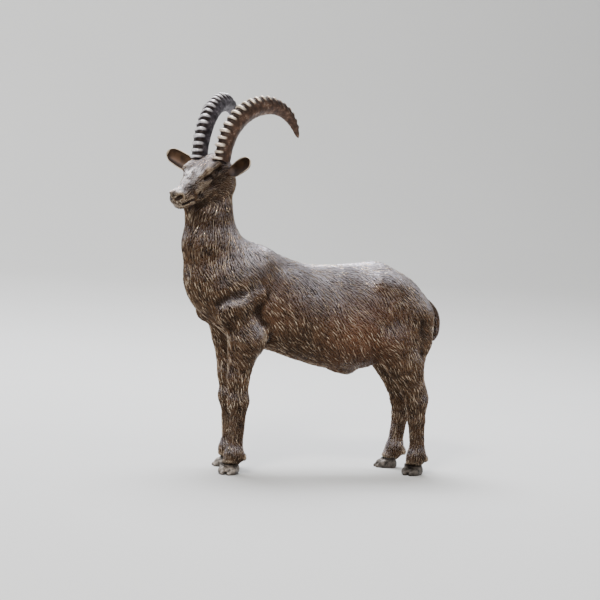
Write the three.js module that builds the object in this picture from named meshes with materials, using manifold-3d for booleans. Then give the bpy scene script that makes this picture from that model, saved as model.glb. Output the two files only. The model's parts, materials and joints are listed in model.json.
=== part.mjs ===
// A bronze statuette of a standing alpine ibex, in millimetres, +Z up.
// It faces -X, with its left side towards -Y and its hooves on z = 0. The origin is on the ground
// under the middle of the whole figure. Places below are measured from the middle of its four feet.
import * as THREE from "three";
import Module from "manifold-3d";

const wasm = await Module();
wasm.setup();
const radians = THREE.MathUtils.degToRad;

// Driving dimensions
const SHOULDER_HEIGHT = 188.5; // ground to the top of the shoulders
const CROUP_HEIGHT = 176.5;
const BELLY_HEIGHT = 86;
const TRUNK_HALF_WIDTH = 32;
const STANCE = 20.5; // middle of the figure to the middle of each leg
const FEET_MIDDLE = [21.7, -11.7, 0]; // from the origin
const GAP = 0.3; // between pieces that meet

const POLL = [-111.4, -4, 256.9]; // top of the head between the horns
const HEAD_LENGTH = 56; // poll to the tip of the nose
const HEAD_YAW = radians(32); // turned to its left
const HEAD_PITCH = radians(34); // nose down
const EYE_RADIUS = 2.7;

const HORN_SPREAD = 11.9; // middle of the head to the middle of a horn's root
const HORN_RADIUS = 7.5;
const HORN_STRAIGHT = 5.4; // the root, before the sweep begins
const HORN_LEAN = radians(9); // backwards, at the root
const HORN_SPLAY = radians(14); // outwards from straight back
const HORN_SWEEP = [
  { radius: 45, turn: radians(81) },
  { radius: 34, turn: radians(62) },
];
const HORN_TIP = 7.5; // the straight end
const KNOBS = 17;
const KNOB_HEIGHT = 1.5;

const EAR_LENGTH = 34;
const EAR_WIDTH = 13.4;
const EAR_WALL = 1.4;

const HOOF_LENGTH = 20;
const HOOF_WIDTH = 14;
const HOOF_HEIGHT = 8.5; // to the coronet, in its middle

// Where each leg's joints stand along the body, and how far its toe turns outwards
const LEGS = {
  front_left: { side: -1, elbow: -78, knee: -79, fetlock: -79.5, hoof: -84, toeOut: radians(52) },
  front_right: { side: 1, elbow: -73.5, knee: -71, fetlock: -68.5, hoof: -71.5, toeOut: radians(8) },
  hind_left: { side: -1, stifle: 54, hock: 82, fetlock: 85.5, hoof: 82, toeOut: radians(40) },
  hind_right: { side: 1, stifle: 60, hock: 86.5, fetlock: 84.5, hoof: 77, toeOut: radians(4) },
};
const BOTH_SIDES = { left: -1, right: 1 };

// How finely each piece is faceted
const CELL = { torso: 6.7, neck: 6.1, head: 3.5, leg: 4.6, hoof: 2.2 };

// Bronze finishes
const FINISH = {
  coat: { color: 0x3b2c22, roughness: 0.48, metalness: 0.85 },
  face: { color: 0x5a4a40, roughness: 0.42, metalness: 0.85 },
  horn: { color: 0x6a5038, roughness: 0.4, metalness: 0.85 },
  hoof: { color: 0x3a3532, roughness: 0.4, metalness: 0.85 },
  eye: { color: 0x15100c, roughness: 0.25, metalness: 0.8 },
};

// Clay: each form is a function that gives the distance from a point to its surface,
// negative inside.

// A rounded bar from a to b, its radius going from ra to rb, and `wide` times as wide across.
function bar(a, ra, b, rb, wide = 1) {
  const [ax, ay, az] = a;
  const [dx, dy, dz] = [b[0] - ax, b[1] - ay, b[2] - az];
  const length2 = dx * dx + dy * dy + dz * dz;
  return (x, y, z) => {
    const [px, py, pz] = [x - ax, y - ay, z - az];
    const t = Math.min(1, Math.max(0, (px * dx + py * dy + pz * dz) / length2));
    return Math.hypot(px - t * dx, (py - t * dy) / wide, pz - t * dz) - (ra + t * (rb - ra));
  };
}

// An egg-shaped lump with its three half-sizes, tipped in the xz plane by `lean`.
function lump(centre, radii, lean = 0) {
  const [cx, cy, cz] = centre;
  const [rx, ry, rz] = radii;
  const [c, s] = [Math.cos(lean), Math.sin(lean)];
  const smallest = Math.min(rx, ry, rz);
  return (x, y, z) => {
    const [px, py, pz] = [x - cx, y - cy, z - cz];
    return (Math.hypot((c * px + s * pz) / rx, py / ry, (c * pz - s * px) / rz) - 1) * smallest;
  };
}

// Two distances joined with a soft fillet of size k.
function soften(a, b, k) {
  const h = Math.max(k - Math.abs(a - b), 0) / k;
  return Math.min(a, b) - (h * h * k) / 4;
}

// Forms joined one after the other: each row is a form and the size of its fillet.
function blend(rows) {
  return (x, y, z) => rows.reduce((d, [form, k]) => soften(d, form(x, y, z), k), 1e3);
}

// Forms pressed into a whole, with a soft edge each.
function press(whole, rows) {
  return (x, y, z) =>
    rows.reduce((d, [form, k]) => -soften(-d, form(x, y, z), k), whole(x, y, z));
}

// A smooth curve through rows of [x, value, value ...], read at x.
function along(rows, x, column = 1) {
  let i = 0;
  while (i < rows.length - 2 && x > rows[i + 1][0]) i += 1;
  const span = rows[i + 1][0] - rows[i][0];
  const t = Math.min(1, Math.max(0, (x - rows[i][0]) / span));
  const slope = (j) => {
    const [p, q] = [rows[Math.max(0, j - 1)], rows[Math.min(rows.length - 1, j + 1)]];
    return ((q[column] - p[column]) / (q[0] - p[0])) * span;
  };
  const [t2, t3] = [t * t, t * t * t];
  return (
    rows[i][column] * (2 * t3 - 3 * t2 + 1) +
    slope(i) * (t3 - 2 * t2 + t) +
    rows[i + 1][column] * (3 * t2 - 2 * t3) +
    slope(i + 1) * (t3 - t2)
  );
}

// Trunk: its back line, belly line and half-width at a few places from the chest to the rump
const TRUNK = [
  [-90, 192, 124, 0.7 * TRUNK_HALF_WIDTH],
  [-68, SHOULDER_HEIGHT, 105, 0.85 * TRUNK_HALF_WIDTH],
  [-45, 179.5, 99.5, 0.94 * TRUNK_HALF_WIDTH],
  [-20, 172.5, 92, 0.99 * TRUNK_HALF_WIDTH],
  [5, 172.5, BELLY_HEIGHT + 0.5, TRUNK_HALF_WIDTH],
  [28, 175, BELLY_HEIGHT, TRUNK_HALF_WIDTH],
  [48, CROUP_HEIGHT, 91, 0.95 * TRUNK_HALF_WIDTH],
  [66, 163.5, 105, 0.8 * TRUNK_HALF_WIDTH],
  [80, 150, 118, 0.6 * TRUNK_HALF_WIDTH],
];
const RIB_SLOPE = 0.14; // the trunk's top is this share narrower than its middle

function trunk(x, y, z) {
  const at = Math.min(TRUNK.at(-1)[0], Math.max(TRUNK[0][0], x));
  const [top, belly, half] = [1, 2, 3].map((column) => along(TRUNK, at, column));
  const height = (top - belly) / 2;
  const level = (z - (top + belly) / 2) / height;
  const width = half * (1 - RIB_SLOPE * Math.max(-1, Math.min(1, level)));
  const round = (Math.hypot(y / width, level) - 1) * Math.min(width, height);
  return x === at ? round : Math.hypot(Math.max(round, 0), x - at);
}

const CHEST = [
  [lump([-93, 0, 156], [29, 25, 30]), 9],
  [bar([-99, 0, 146], 15.5, [-72, 0, 125], 19), 10],
];
const NECK = [
  [bar([-96.5, 0, 164], 28.2, [-104, 0, 185], 23.3, 0.9), 7],
  [bar([-104, 0, 185], 23, [-108, 0, 210], 18, 0.94), 5],
  [bar([-107.5, 0, 210], 17.6, [-105, -1, 238], 14.5), 7],
];
const SHEATH = [[bar([15, 0, 89.5], 5, [25, 0, 86.5], 4.8, 1.2), 7]];

function shoulder(side) {
  return [
    [bar([-62, 13 * side, 170], 9, [-93, 20 * side, 142], 13.5), 14],
    [bar([-90, 20 * side, 138], 12.5, [-74, 22 * side, 110], 12), 8],
  ];
}

function haunch(side) {
  return [
    [lump([57, 14 * side, 144.8], [26, 16, 22.5]), 12],
    [bar([69, 14 * side, 133.5], 18.8, [58, 19 * side, 112], 16, 0.82), 9],
    [bar([79, 12 * side, 130], 16, [79.5, 15 * side, 114], 13.2), 10],
    [bar([79, 15 * side, 114], 12, [77, 19 * side, 86], 8, 0.85), 8],
  ];
}

// What stands out under the coat: upper arm, elbow, stifle, shoulder blade and hip
function muscles(side) {
  return [
    [bar([-82, 27 * side, 139], 9.5, [-93, 23.5 * side, 131], 8), 6],
    [bar([-64, 21 * side, 116], 5, [-67, 22 * side, 106], 5), 6],
    [bar([44, 25 * side, 112], 6, [30, 24 * side, 124], 5), 9],
    [bar([-50, 18 * side, 158], 6, [-58, 21 * side, 136], 6), 9],
    [bar([52, 21 * side, 158], 7, [40, 22 * side, 160], 5), 9],
  ];
}

// The grooves in front of the shoulder and behind it, of the flank and down the thigh
function grooves(side) {
  return [
    [bar([-88, 34.5 * side, 156], 3.5, [-106, 25.5 * side, 144], 3.5), 8],
    [bar([-54, 38 * side, 130], 5.5, [-56, 34 * side, 106], 4.5), 9],
    [bar([30, 38 * side, 104], 4, [40, 33 * side, 97], 4), 8],
    [bar([80, 32 * side, 128], 3, [84, 30 * side, 104], 3), 8],
  ];
}

// Legs
const FETLOCK_HEIGHT = 16.5;

// The fetlock with its two dewclaws, and the pastern down into the hoof.
function foot(x, y, hoof) {
  return [
    [lump([x, y, FETLOCK_HEIGHT], [7.7, 7.4, 7.5]), 4],
    [bar([x - 1.5, y, 14], 6.7, [hoof, y, 5], 6.3), 4],
    [lump([x + 7, y - 3.4, 14], [2.7, 2.2, 3.4]), 1.5],
    [lump([x + 7, y + 3.4, 14], [2.7, 2.2, 3.4]), 1.5],
  ];
}

function foreLeg({ side, elbow, knee, fetlock, hoof }) {
  const y = STANCE * side;
  return [
    [bar([elbow, 1.08 * y, 108], 13.5, [knee - 2, y, 78], 8.8, 0.9), 8],
    [bar([knee - 2, y, 78], 8.6, [knee, y, 61], 7.4), 4],
    [lump([knee - 1, y, 59], [8, 7.4, 8.5]), 4],
    [bar([knee, y, 60], 7, [fetlock, y, 22], 6, 0.95), 5],
    ...foot(fetlock, y, hoof),
  ];
}

function hindLeg({ side, stifle, hock, fetlock, hoof }) {
  const y = STANCE * side;
  return [
    [bar([stifle, 1.1 * y, 112], 15, [stifle + 13, y, 94], 14, 0.78), 9],
    [bar([stifle + 13, y, 94], 14, [hock - 5, y, 73], 9.8, 0.85), 6],
    [bar([hock - 5, y, 74], 8.4, [hock, y, 60], 8.4, 0.9), 4],
    [bar([hock - 3, y, 84], 4.6, [hock + 6.8, y, 65], 4, 0.9), 4],
    [bar([hock, y, 60], 8.4, [hock + 1, y, 46], 6.8, 0.9), 4],
    [bar([hock + 1, y, 46], 6.6, [fetlock, y, 22], 6.2), 4],
    ...foot(fetlock, y, hoof),
  ];
}

// Head: its own axes run forwards to the nose, to its left and upwards, from the poll
const headAxes = (() => {
  const [cy, sy] = [Math.cos(HEAD_YAW), Math.sin(HEAD_YAW)];
  const [cp, sp] = [Math.cos(HEAD_PITCH), Math.sin(HEAD_PITCH)];
  return {
    level: [-cy, -sy, 0],
    forward: [-cy * cp, -sy * cp, -sp],
    left: [sy, -cy, 0],
    up: [-cy * sp, -sy * sp, cp],
  };
})();

const dot = (p, q) => p[0] * q[0] + p[1] * q[1] + p[2] * q[2];

// A point so far forwards, to the left and upwards of the poll, along the head's own axes.
function headPoint([f, l, u]) {
  const { forward, left, up } = headAxes;
  return POLL.map((v, i) => v + f * forward[i] + l * left[i] + u * up[i]);
}

// The same with forwards level and upwards plumb.
function plumbPoint([h, l, z]) {
  const { level, left } = headAxes;
  return POLL.map((v, i) => v + h * level[i] + l * left[i] + (i === 2 ? z : 0));
}

const NOSE = HEAD_LENGTH - 4.5;

function cheek(side) {
  return [
    [bar([13, 10.5 * side, -2.5], 3.8, [19, 11 * side, -1], 3), 4],
    [bar([6, 6 * side, -22], 8.2, [NOSE - 5, 2.2 * side, -14], 3.8), 6],
    [lump([18, 8 * side, -13], [10, 4.4, 7]), 5],
  ];
}

const headForm = blend([
  [lump([2, 0, -13], [14, 13, 12]), 6],
  [bar([8, 0, -12.5], 11.8, [24, 0, -11], 10.5, 1.15), 6],
  [bar([22, 0, -10], 9.6, [NOSE - 1, 0, -7.6], 6.9), 8],
  [bar([12, -7, -4], 4.2, [12, 7, -4], 4.2), 6],
  ...cheek(1),
  ...cheek(-1),
  [lump([NOSE, 0, -6.6], [5.2, 6.6, 5.8]), 4],
  [lump([NOSE - 2, 0, -13.4], [6.2, 5, 3.4]), 2.5],
  [bar([0, 0, -14], 11, [-2, 0, -28], 12), 8],
]);

function head(x, y, z) {
  const p = [x - POLL[0], y - POLL[1], z - POLL[2]];
  return headForm(dot(p, headAxes.forward), dot(p, headAxes.left), dot(p, headAxes.up));
}

// The whole animal but for its horns, ears, eyes, hooves, tail and beard
const sides = Object.values(BOTH_SIDES);
const fleshed = blend([
  [trunk, 1],
  ...CHEST,
  ...sides.flatMap(shoulder),
  ...NECK,
  ...sides.flatMap(haunch),
  ...SHEATH,
  ...foreLeg(LEGS.front_left),
  ...foreLeg(LEGS.front_right),
  ...hindLeg(LEGS.hind_left),
  ...hindLeg(LEGS.hind_right),
  ...sides.flatMap(muscles),
  [head, 6],
]);
const body = press(fleshed, sides.flatMap(grooves));

// A closed mesh with its vertices as [x, y, z] and its triangles as a flat list of indices, as
// a solid for joins and cuts. Triangles that face inwards are turned round.
function solid(vertices, triangles) {
  let volume = 0;
  for (let i = 0; i < triangles.length; i += 3) {
    const [a, b, c] = [0, 1, 2].map((n) => vertices[triangles[i + n]]);
    volume += a[0] * (b[1] * c[2] - b[2] * c[1]);
    volume += a[1] * (b[2] * c[0] - b[0] * c[2]);
    volume += a[2] * (b[0] * c[1] - b[1] * c[0]);
  }
  return new wasm.Manifold(
    new wasm.Mesh({
      numProp: 3,
      vertProperties: new Float32Array(vertices.flat()),
      triVerts: new Uint32Array(volume < 0 ? triangles.toReversed() : triangles),
    }),
  );
}

// The surface of a form inside the box from low to high, in cells of one size: a vertex for
// each cell that the surface crosses, moved on to the surface.
function surface(form, low, high, cell) {
  const count = low.map((v, i) => Math.ceil((high[i] - v) / cell) + 4);
  const place = (n, axis) => low[axis] + (n - 1.5) * cell;
  const index = (i, j, k) => i + count[0] * (j + count[1] * k);
  const boxed = (p) => Math.max(form(...p), ...p.map((v, i) => Math.max(low[i] - v, v - high[i])));
  const each = (from, margin, visit) => {
    for (let k = from; k < count[2] - margin; k += 1)
      for (let j = from; j < count[1] - margin; j += 1)
        for (let i = from; i < count[0] - margin; i += 1) visit(i, j, k);
  };

  const values = new Float64Array(count[0] * count[1] * count[2]);
  each(0, 0, (i, j, k) => {
    values[index(i, j, k)] = boxed([place(i, 0), place(j, 1), place(k, 2)]);
  });

  const corners = Array.from({ length: 8 }, (_, n) => [n & 1, (n >> 1) & 1, n >> 2]);
  const edges = [];
  for (let m = 0; m < 8; m += 1)
    for (const bit of [1, 2, 4]) if (!(m & bit)) edges.push([m, m | bit]);

  const vertices = [];
  const vertexOf = new Map();
  each(0, 1, (i, j, k) => {
    const v = corners.map(([a, b, c]) => values[index(i + a, j + b, k + c)]);
    const crossed = edges.filter(([m, n]) => v[m] < 0 !== v[n] < 0);
    if (!crossed.length) return;
    const middle = [0, 1, 2].map((axis) => {
      const sum = crossed.reduce((total, [m, n]) => {
        const share = v[m] / (v[m] - v[n]);
        return total + corners[m][axis] + share * (corners[n][axis] - corners[m][axis]);
      }, 0);
      return place([i, j, k][axis], axis) + (sum / crossed.length) * cell;
    });
    vertexOf.set(index(i, j, k), vertices.length);
    vertices.push(settled(middle, boxed, cell));
  });

  const triangles = [];
  each(1, 1, (i, j, k) => {
    const inside = values[index(i, j, k)] < 0;
    const at = (a, b, c) => vertexOf.get(index(i - a, j - b, k - c));
    const faces = [
      [index(i + 1, j, k), at(0, 1, 1), at(0, 0, 1), at(0, 0, 0), at(0, 1, 0)],
      [index(i, j + 1, k), at(1, 0, 1), at(1, 0, 0), at(0, 0, 0), at(0, 0, 1)],
      [index(i, j, k + 1), at(1, 1, 0), at(0, 1, 0), at(0, 0, 0), at(1, 0, 0)],
    ];
    for (const [next, ...quad] of faces) {
      if (inside === values[next] < 0) continue;
      const span = (m, n) => Math.hypot(...vertices[quad[m]].map((v, q) => v - vertices[quad[n]][q]));
      const [a, b, c, d] = span(0, 2) < span(1, 3) ? quad : [...quad.slice(1), quad[0]];
      triangles.push(...(inside ? [a, b, c, a, c, d] : [c, b, a, d, c, a]));
    }
  });
  return solid(vertices, triangles);
}

// A point moved on to the surface where a field is zero, by at most 0.8 of a cell.
function settled(point, field, cell) {
  const step = 0.05 * cell;
  let p = point;
  for (let round = 0; round < 2; round += 1) {
    const here = field(p);
    const slope = [0, 1, 2].map((axis) => (field(p.with(axis, p[axis] + step)) - here) / step);
    const wanted = here / Math.max(dot(slope, slope), 0.2);
    const move = Math.max(-0.4 * cell, Math.min(0.4 * cell, wanted));
    p = p.map((v, axis) => v - move * slope[axis]);
  }
  return p;
}

// A geometry as a solid, its corners merged by their place.
function fromGeometry(geometry) {
  const position = (geometry.index ? geometry.toNonIndexed() : geometry).getAttribute("position");
  const found = new Map();
  const vertices = [];
  const corners = Array.from({ length: position.count }, (_, i) => {
    const p = [position.getX(i), position.getY(i), position.getZ(i)];
    const key = p.map((v) => Math.round(v * 1000)).join();
    if (!found.has(key)) found.set(key, vertices.push(p) - 1);
    return found.get(key);
  });
  const triangles = [];
  for (let i = 0; i < corners.length; i += 3) {
    const [a, b, c] = corners.slice(i, i + 3);
    if (a !== b && b !== c && c !== a) triangles.push(a, b, c);
  }
  return solid(vertices, triangles);
}

// A closed skin over rings of points, each ring with the same number of points.
function skinOver(rings) {
  const sides = rings[0].length;
  const vertices = rings.flat();
  const triangles = [];
  for (let r = 0; r < rings.length - 1; r += 1)
    for (let i = 0; i < sides; i += 1) {
      const [a, b] = [r * sides + i, r * sides + ((i + 1) % sides)];
      triangles.push(a, b, b + sides, a, b + sides, a + sides);
    }
  for (const r of [0, rings.length - 1]) {
    const middle = vertices.push(centreOf(rings[r])) - 1;
    for (let i = 0; i < sides; i += 1) {
      const [a, b] = [r * sides + i, r * sides + ((i + 1) % sides)];
      triangles.push(...(r === 0 ? [b, a, middle] : [a, b, middle]));
    }
  }
  return solid(vertices, triangles);
}

const centreOf = (ring) => [0, 1, 2].map((i) => ring.reduce((s, p) => s + p[i], 0) / ring.length);

// The hole for the first rings of a piece: the same skin, a gap wider all round and deeper.
function socket(rings, count) {
  const [first, second] = rings.map(centreOf);
  const length = Math.hypot(...first.map((v, i) => v - second[i]));
  const deeper = first.map((v, i) => ((v - second[i]) / length) * GAP);
  const wider = rings.slice(0, count).map((ring, r) => {
    const centre = centreOf(ring);
    return ring.map((p) => {
      const away = p.map((v, i) => v - centre[i]);
      const share = 1 + (1.4 * GAP) / Math.hypot(...away);
      return away.map((v, i) => centre[i] + v * share + (r === 0 ? deeper[i] : 0));
    });
  });
  return skinOver(wider);
}

// What is left of a piece when all on the side that a plane's normal points to is cut away,
// with half of a gap.
const BLOCK = 400;
function cutAway(piece, { point, normal }, facing = 1) {
  const away = new THREE.Vector3(...normal).multiplyScalar(facing).normalize();
  const turn = new THREE.Quaternion().setFromUnitVectors(new THREE.Vector3(0, 0, 1), away);
  const block = new THREE.BoxGeometry(BLOCK, BLOCK, BLOCK)
    .translate(0, 0, (BLOCK - GAP) / 2)
    .applyQuaternion(turn)
    .translate(...point);
  return piece.subtract(fromGeometry(block));
}

function largest(piece) {
  return piece.decompose().reduce((a, b) => (b.volume() > a.volume() ? b : a));
}

// A piece with the ends of each edge shorter than WELD brought together.
const WELD = 0.05;
function welded(piece) {
  const { vertProperties, triVerts } = piece.getMesh();
  const vertices = Array.from({ length: vertProperties.length / 3 }, (_, i) => [
    ...vertProperties.slice(3 * i, 3 * i + 3),
  ]);
  const kept = vertices.map((_, i) => i);
  const find = (i) => (kept[i] === i ? i : find(kept[i]));
  const corners = (t) => [...triVerts.slice(t, t + 3)].map(find);
  for (let t = 0; t < triVerts.length; t += 3)
    for (const [m, n] of [[0, 1], [1, 2], [2, 0]]) {
      const [a, b] = [corners(t)[m], corners(t)[n]];
      if (Math.hypot(...vertices[a].map((v, i) => v - vertices[b][i])) < WELD) kept[b] = a;
    }
  const triangles = [];
  for (let t = 0; t < triVerts.length; t += 3) {
    const [a, b, c] = corners(t);
    if (a !== b && b !== c && c !== a) triangles.push(a, b, c);
  }
  return solid(vertices, triangles);
}

// Horns: the path of a horn's middle, in the upright plane of its sweep
const HORN_LENGTH = HORN_SWEEP.reduce(
  (sum, { radius, turn }) => sum + radius * turn,
  HORN_STRAIGHT + HORN_TIP,
);

function hornPath(s) {
  let heading = Math.PI / 2 - HORN_LEAN;
  const first = Math.min(s, HORN_STRAIGHT);
  let back = first * Math.cos(heading);
  let up = first * Math.sin(heading);
  let rest = s - first;
  for (const { radius, turn } of HORN_SWEEP) {
    const next = heading - Math.min(rest / radius, turn);
    back += radius * (Math.sin(heading) - Math.sin(next));
    up += radius * (Math.cos(next) - Math.cos(heading));
    rest -= radius * (heading - next);
    heading = next;
  }
  back += rest * Math.cos(heading);
  up += rest * Math.sin(heading);
  return { back, up, heading };
}

const HORN_TAPER = [
  [0, 0.92],
  [0.3, 1],
  [0.55, 0.93],
  [0.75, 0.7],
  [0.9, 0.44],
  [1, 0.24],
];
const HORN_SIDES = 10;
const HORN_DEPTH = 3; // of the root in the head
const KNOBS_FROM = 9;
const KNOBS_TO = 0.91 * HORN_LENGTH;

// One ring of a horn, at length s, with its knob raised on the front.
function hornRing(side, s, knob) {
  const { back, up, heading } = hornPath(s);
  const radius = HORN_RADIUS * along(HORN_TAPER, Math.max(0, s) / HORN_LENGTH);
  return Array.from({ length: HORN_SIDES }, (_, i) => {
    const angle = (2 * Math.PI * i) / HORN_SIDES;
    const front = Math.cos(angle);
    const r = radius * (1 + 0.05 * Math.cos(4 * angle)) + knob * Math.max(0, front + 0.3) ** 0.7;
    const inPlane = back - r * front * Math.sin(heading);
    const across = 0.9 * r * Math.sin(angle);
    return plumbPoint([
      -1.6 - inPlane * Math.cos(HORN_SPLAY) + across * Math.sin(HORN_SPLAY),
      -side * (HORN_SPREAD + inPlane * Math.sin(HORN_SPLAY) + across * Math.cos(HORN_SPLAY)),
      up + r * front * Math.cos(heading),
    ]);
  });
}

function hornRings(side) {
  const pitch = (KNOBS_TO - KNOBS_FROM) / KNOBS;
  const rings = [hornRing(side, -HORN_DEPTH, 0), hornRing(side, 2, 0)];
  for (let n = 0; n < KNOBS; n += 1) {
    const height = KNOB_HEIGHT * Math.min(1, 0.4 + 0.25 * n) * (1 - 0.6 * (n / KNOBS) ** 2);
    for (const [share, raised] of [
      [0, 0],
      [0.3, height],
      [0.62, 0.9 * height],
    ])
      rings.push(hornRing(side, KNOBS_FROM + (n + share) * pitch, raised));
  }
  for (const s of [KNOBS_TO, HORN_LENGTH - 3, HORN_LENGTH]) rings.push(hornRing(side, s, 0));
  return rings;
}

// Ears: a cupped leaf that opens forwards, on a solid root
const EAR_ROOT = [-6, 12.5, -13.8];
const EAR_SWEEP = radians(18); // forwards of straight out
const EAR_RISE = { left: radians(20), right: radians(25) };
const EAR_OUTLINE = [
  [-0.12, 0.34],
  [0, 0.42],
  [0.2, 0.72],
  [0.42, 1],
  [0.65, 0.98],
  [0.85, 0.76],
  [1, 0.22],
];
const EAR_STATIONS = [-0.12, 0, 0.1, 0.2, 0.34, 0.5, 0.66, 0.8, 0.91, 1];
const EAR_ARC = 7; // points on each face of the ear, in each ring

function earRings(side) {
  const rise = side < 0 ? EAR_RISE.left : EAR_RISE.right;
  const out = new THREE.Vector3(
    Math.sin(EAR_SWEEP) * Math.cos(rise),
    Math.cos(EAR_SWEEP) * Math.cos(rise),
    Math.sin(rise),
  );
  const open = new THREE.Vector3(Math.cos(EAR_SWEEP), -Math.sin(EAR_SWEEP), 0.15);
  open.addScaledVector(out, -open.dot(out)).normalize();
  const across = new THREE.Vector3().crossVectors(out, open);
  return EAR_STATIONS.map((share) => {
    const half = (EAR_WIDTH / 2) * along(EAR_OUTLINE, share);
    const cup = 0.55 * half;
    const hollow = THREE.MathUtils.smoothstep(share, 0.04, 0.3);
    const front = THREE.MathUtils.lerp(0.7 * cup, Math.min(-0.1, EAR_WALL - cup), hollow);
    const point = (width, depth, t) => {
      const angle = Math.PI * (t - 0.5);
      const v = out.clone().multiplyScalar(share * EAR_LENGTH);
      v.addScaledVector(across, width * Math.sin(angle));
      v.addScaledVector(open, depth * Math.cos(angle));
      return plumbPoint([EAR_ROOT[0] + v.x, -side * (EAR_ROOT[1] + v.y), EAR_ROOT[2] + v.z]);
    };
    const steps = Array.from({ length: EAR_ARC }, (_, i) => (i + 0.5) / EAR_ARC);
    return [
      ...steps.map((t) => point(half, -cup, t)),
      ...steps.toReversed().map((t) => point(0.92 * half, front, t)),
    ];
  });
}

// A lock or a tail: oval rings along a path of [x, y, z, half-depth, half-width].
function lockRings(path, sides = 8) {
  return path.map(([x, y, z, deep, wide], i) => {
    const [p, q] = [path[Math.max(0, i - 1)], path[Math.min(path.length - 1, i + 1)]];
    const tangent = new THREE.Vector3(q[0] - p[0], q[1] - p[1], q[2] - p[2]).normalize();
    const across = new THREE.Vector3(0, 1, 0).addScaledVector(tangent, -tangent.y).normalize();
    const outward = new THREE.Vector3().crossVectors(tangent, across);
    return Array.from({ length: sides }, (_, n) => {
      const angle = (2 * Math.PI * n) / sides;
      const v = new THREE.Vector3(x, y, z);
      v.addScaledVector(outward, deep * Math.cos(angle));
      v.addScaledVector(across, wide * Math.sin(angle));
      return v.toArray();
    });
  });
}

const TAIL = [
  [82, 0, 147, 4, 7],
  [90, 0, 144.5, 4.4, 8],
  [95.5, 0, 141, 4.5, 8],
  [100.3, 0, 136, 4.3, 7.4],
  [103, 0, 130, 4, 6.8],
  [103.8, 0, 123.5, 3.8, 6],
  [103.8, 0, 117, 3, 4.4],
  [103, 0, 112, 1, 1.6],
];

// The beard hangs plumb from under the chin.
const BEARD_ROOT = headPoint([NOSE - 8, 0, -13]);
const BEARD = [
  [0, 3, 3.4],
  [4, 2.9, 3.2],
  [8, 2.4, 2.6],
  [12, 1.6, 1.8],
  [16, 0.5, 0.6],
].map(([drop, deep, wide]) => [BEARD_ROOT[0], BEARD_ROOT[1], BEARD_ROOT[2] - drop, deep, wide]);

// Hooves: two claws side by side, cut flat on the ground and along the coronet
const CORONET_SLOPE = 0.2; // higher in front
const GROUND = { point: [0, 0, -GAP / 2], normal: [0, 0, -1] };

function coronet({ side, hoof, toeOut }) {
  const [c, s] = [Math.cos(toeOut), Math.sin(toeOut)];
  return {
    point: [hoof, STANCE * side, HOOF_HEIGHT],
    normal: [CORONET_SLOPE * c, -CORONET_SLOPE * s * side, 1],
  };
}

function hoof(leg) {
  const { side, hoof: x, toeOut } = leg;
  const [c, s] = [Math.cos(toeOut), Math.sin(toeOut)];
  const wide = HOOF_WIDTH / 4;
  const claw = (hand) => [
    [bar([-4, hand * wide, 3.2], 4.6, [3.5, hand * wide, 2.6], 4), 1],
    [bar([2, hand * wide, 2.8], 3.9, [HOOF_LENGTH / 2 - 1.8, hand * 0.75 * wide, 1], 1.9), 1.5],
    [bar([-3, hand * wide, 6], 4.3, [0, hand * wide, 12], 4), 2],
  ];
  const claws = blend([...claw(1), ...claw(-1)]);
  const y = STANCE * side;
  const form = (px, py, pz) => {
    const [dx, dy] = [px - x, (py - y) * side];
    return claws(-dx * c + dy * s, dx * s + dy * c, pz);
  };
  const whole = surface(form, [x - 14, y - 14, -3], [x + 14, y + 14, 14], CELL.hoof);
  return cutAway(cutAway(whole, GROUND), coronet(leg));
}

// Partings between the pieces of the body, each with its normal towards the first one named
const NECK_FROM_TORSO = { point: [-94, 0, 167], normal: [-0.626, 0, 0.78] };
const HEAD_FROM_NECK = { point: [-110, -6, 225], normal: [-0.42, -0.26, 0.87] };
const TORSO_FROM_FORE_LEG = { point: [-76, 0, 103], normal: [0.28, 0, 0.96] };
const TORSO_FROM_HIND_LEG = { point: [50, 0, 90], normal: [-0.398, 0, 0.918] };
const LEFT_FROM_RIGHT = { point: [0, 0, 0], normal: [0, -1, 0] };

const FAR_SIDE = 1;
const NEAR_SIDE = -1;

function neckPiece() {
  const whole = surface(body, [-140, -34, 148], [-56, 32, 246], CELL.neck);
  return cutAway(cutAway(whole, NECK_FROM_TORSO, NEAR_SIDE), HEAD_FROM_NECK, FAR_SIDE);
}

const TAIL_RINGS = lockRings(TAIL);

function torsoPiece() {
  const whole = surface(body, [-132, -40, 74], [114, 40, 196], CELL.torso);
  const parted = [
    [NECK_FROM_TORSO, FAR_SIDE],
    [TORSO_FROM_FORE_LEG, NEAR_SIDE],
    [TORSO_FROM_HIND_LEG, NEAR_SIDE],
  ].reduce((piece, [plane, facing]) => cutAway(piece, plane, facing), whole);
  return parted.subtract(socket(TAIL_RINGS, TAIL_RINGS.length));
}

function legPiece(leg, high, plane) {
  const y = leg.side < 0 ? [-40, 2] : [-2, 40];
  const x = leg.elbow ? [-112, -44] : [28, 112];
  const whole = surface(body, [x[0], y[0], 3], [x[1], y[1], high], CELL.leg);
  const parted = cutAway(cutAway(whole, plane), LEFT_FROM_RIGHT, leg.side);
  return cutAway(parted, coronet(leg), NEAR_SIDE);
}

// Head: sockets for the horns, ears, eyes and beard, nostrils and the line of the mouth
const EYE = [17, 12.6, -5.2];

function eyeBall(side, radius) {
  const place = headPoint([EYE[0], -side * EYE[1], EYE[2]]);
  return fromGeometry(new THREE.SphereGeometry(radius, 12, 8).translate(...place));
}

function dent(at, radii) {
  const egg = new THREE.SphereGeometry(1, 8, 6).scale(...radii);
  const { forward, left, up } = headAxes;
  const axes = [forward, left, up].map((v) => new THREE.Vector3(...v));
  egg.applyMatrix4(new THREE.Matrix4().makeBasis(...axes));
  return fromGeometry(egg.translate(...headPoint(at)));
}

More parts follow.
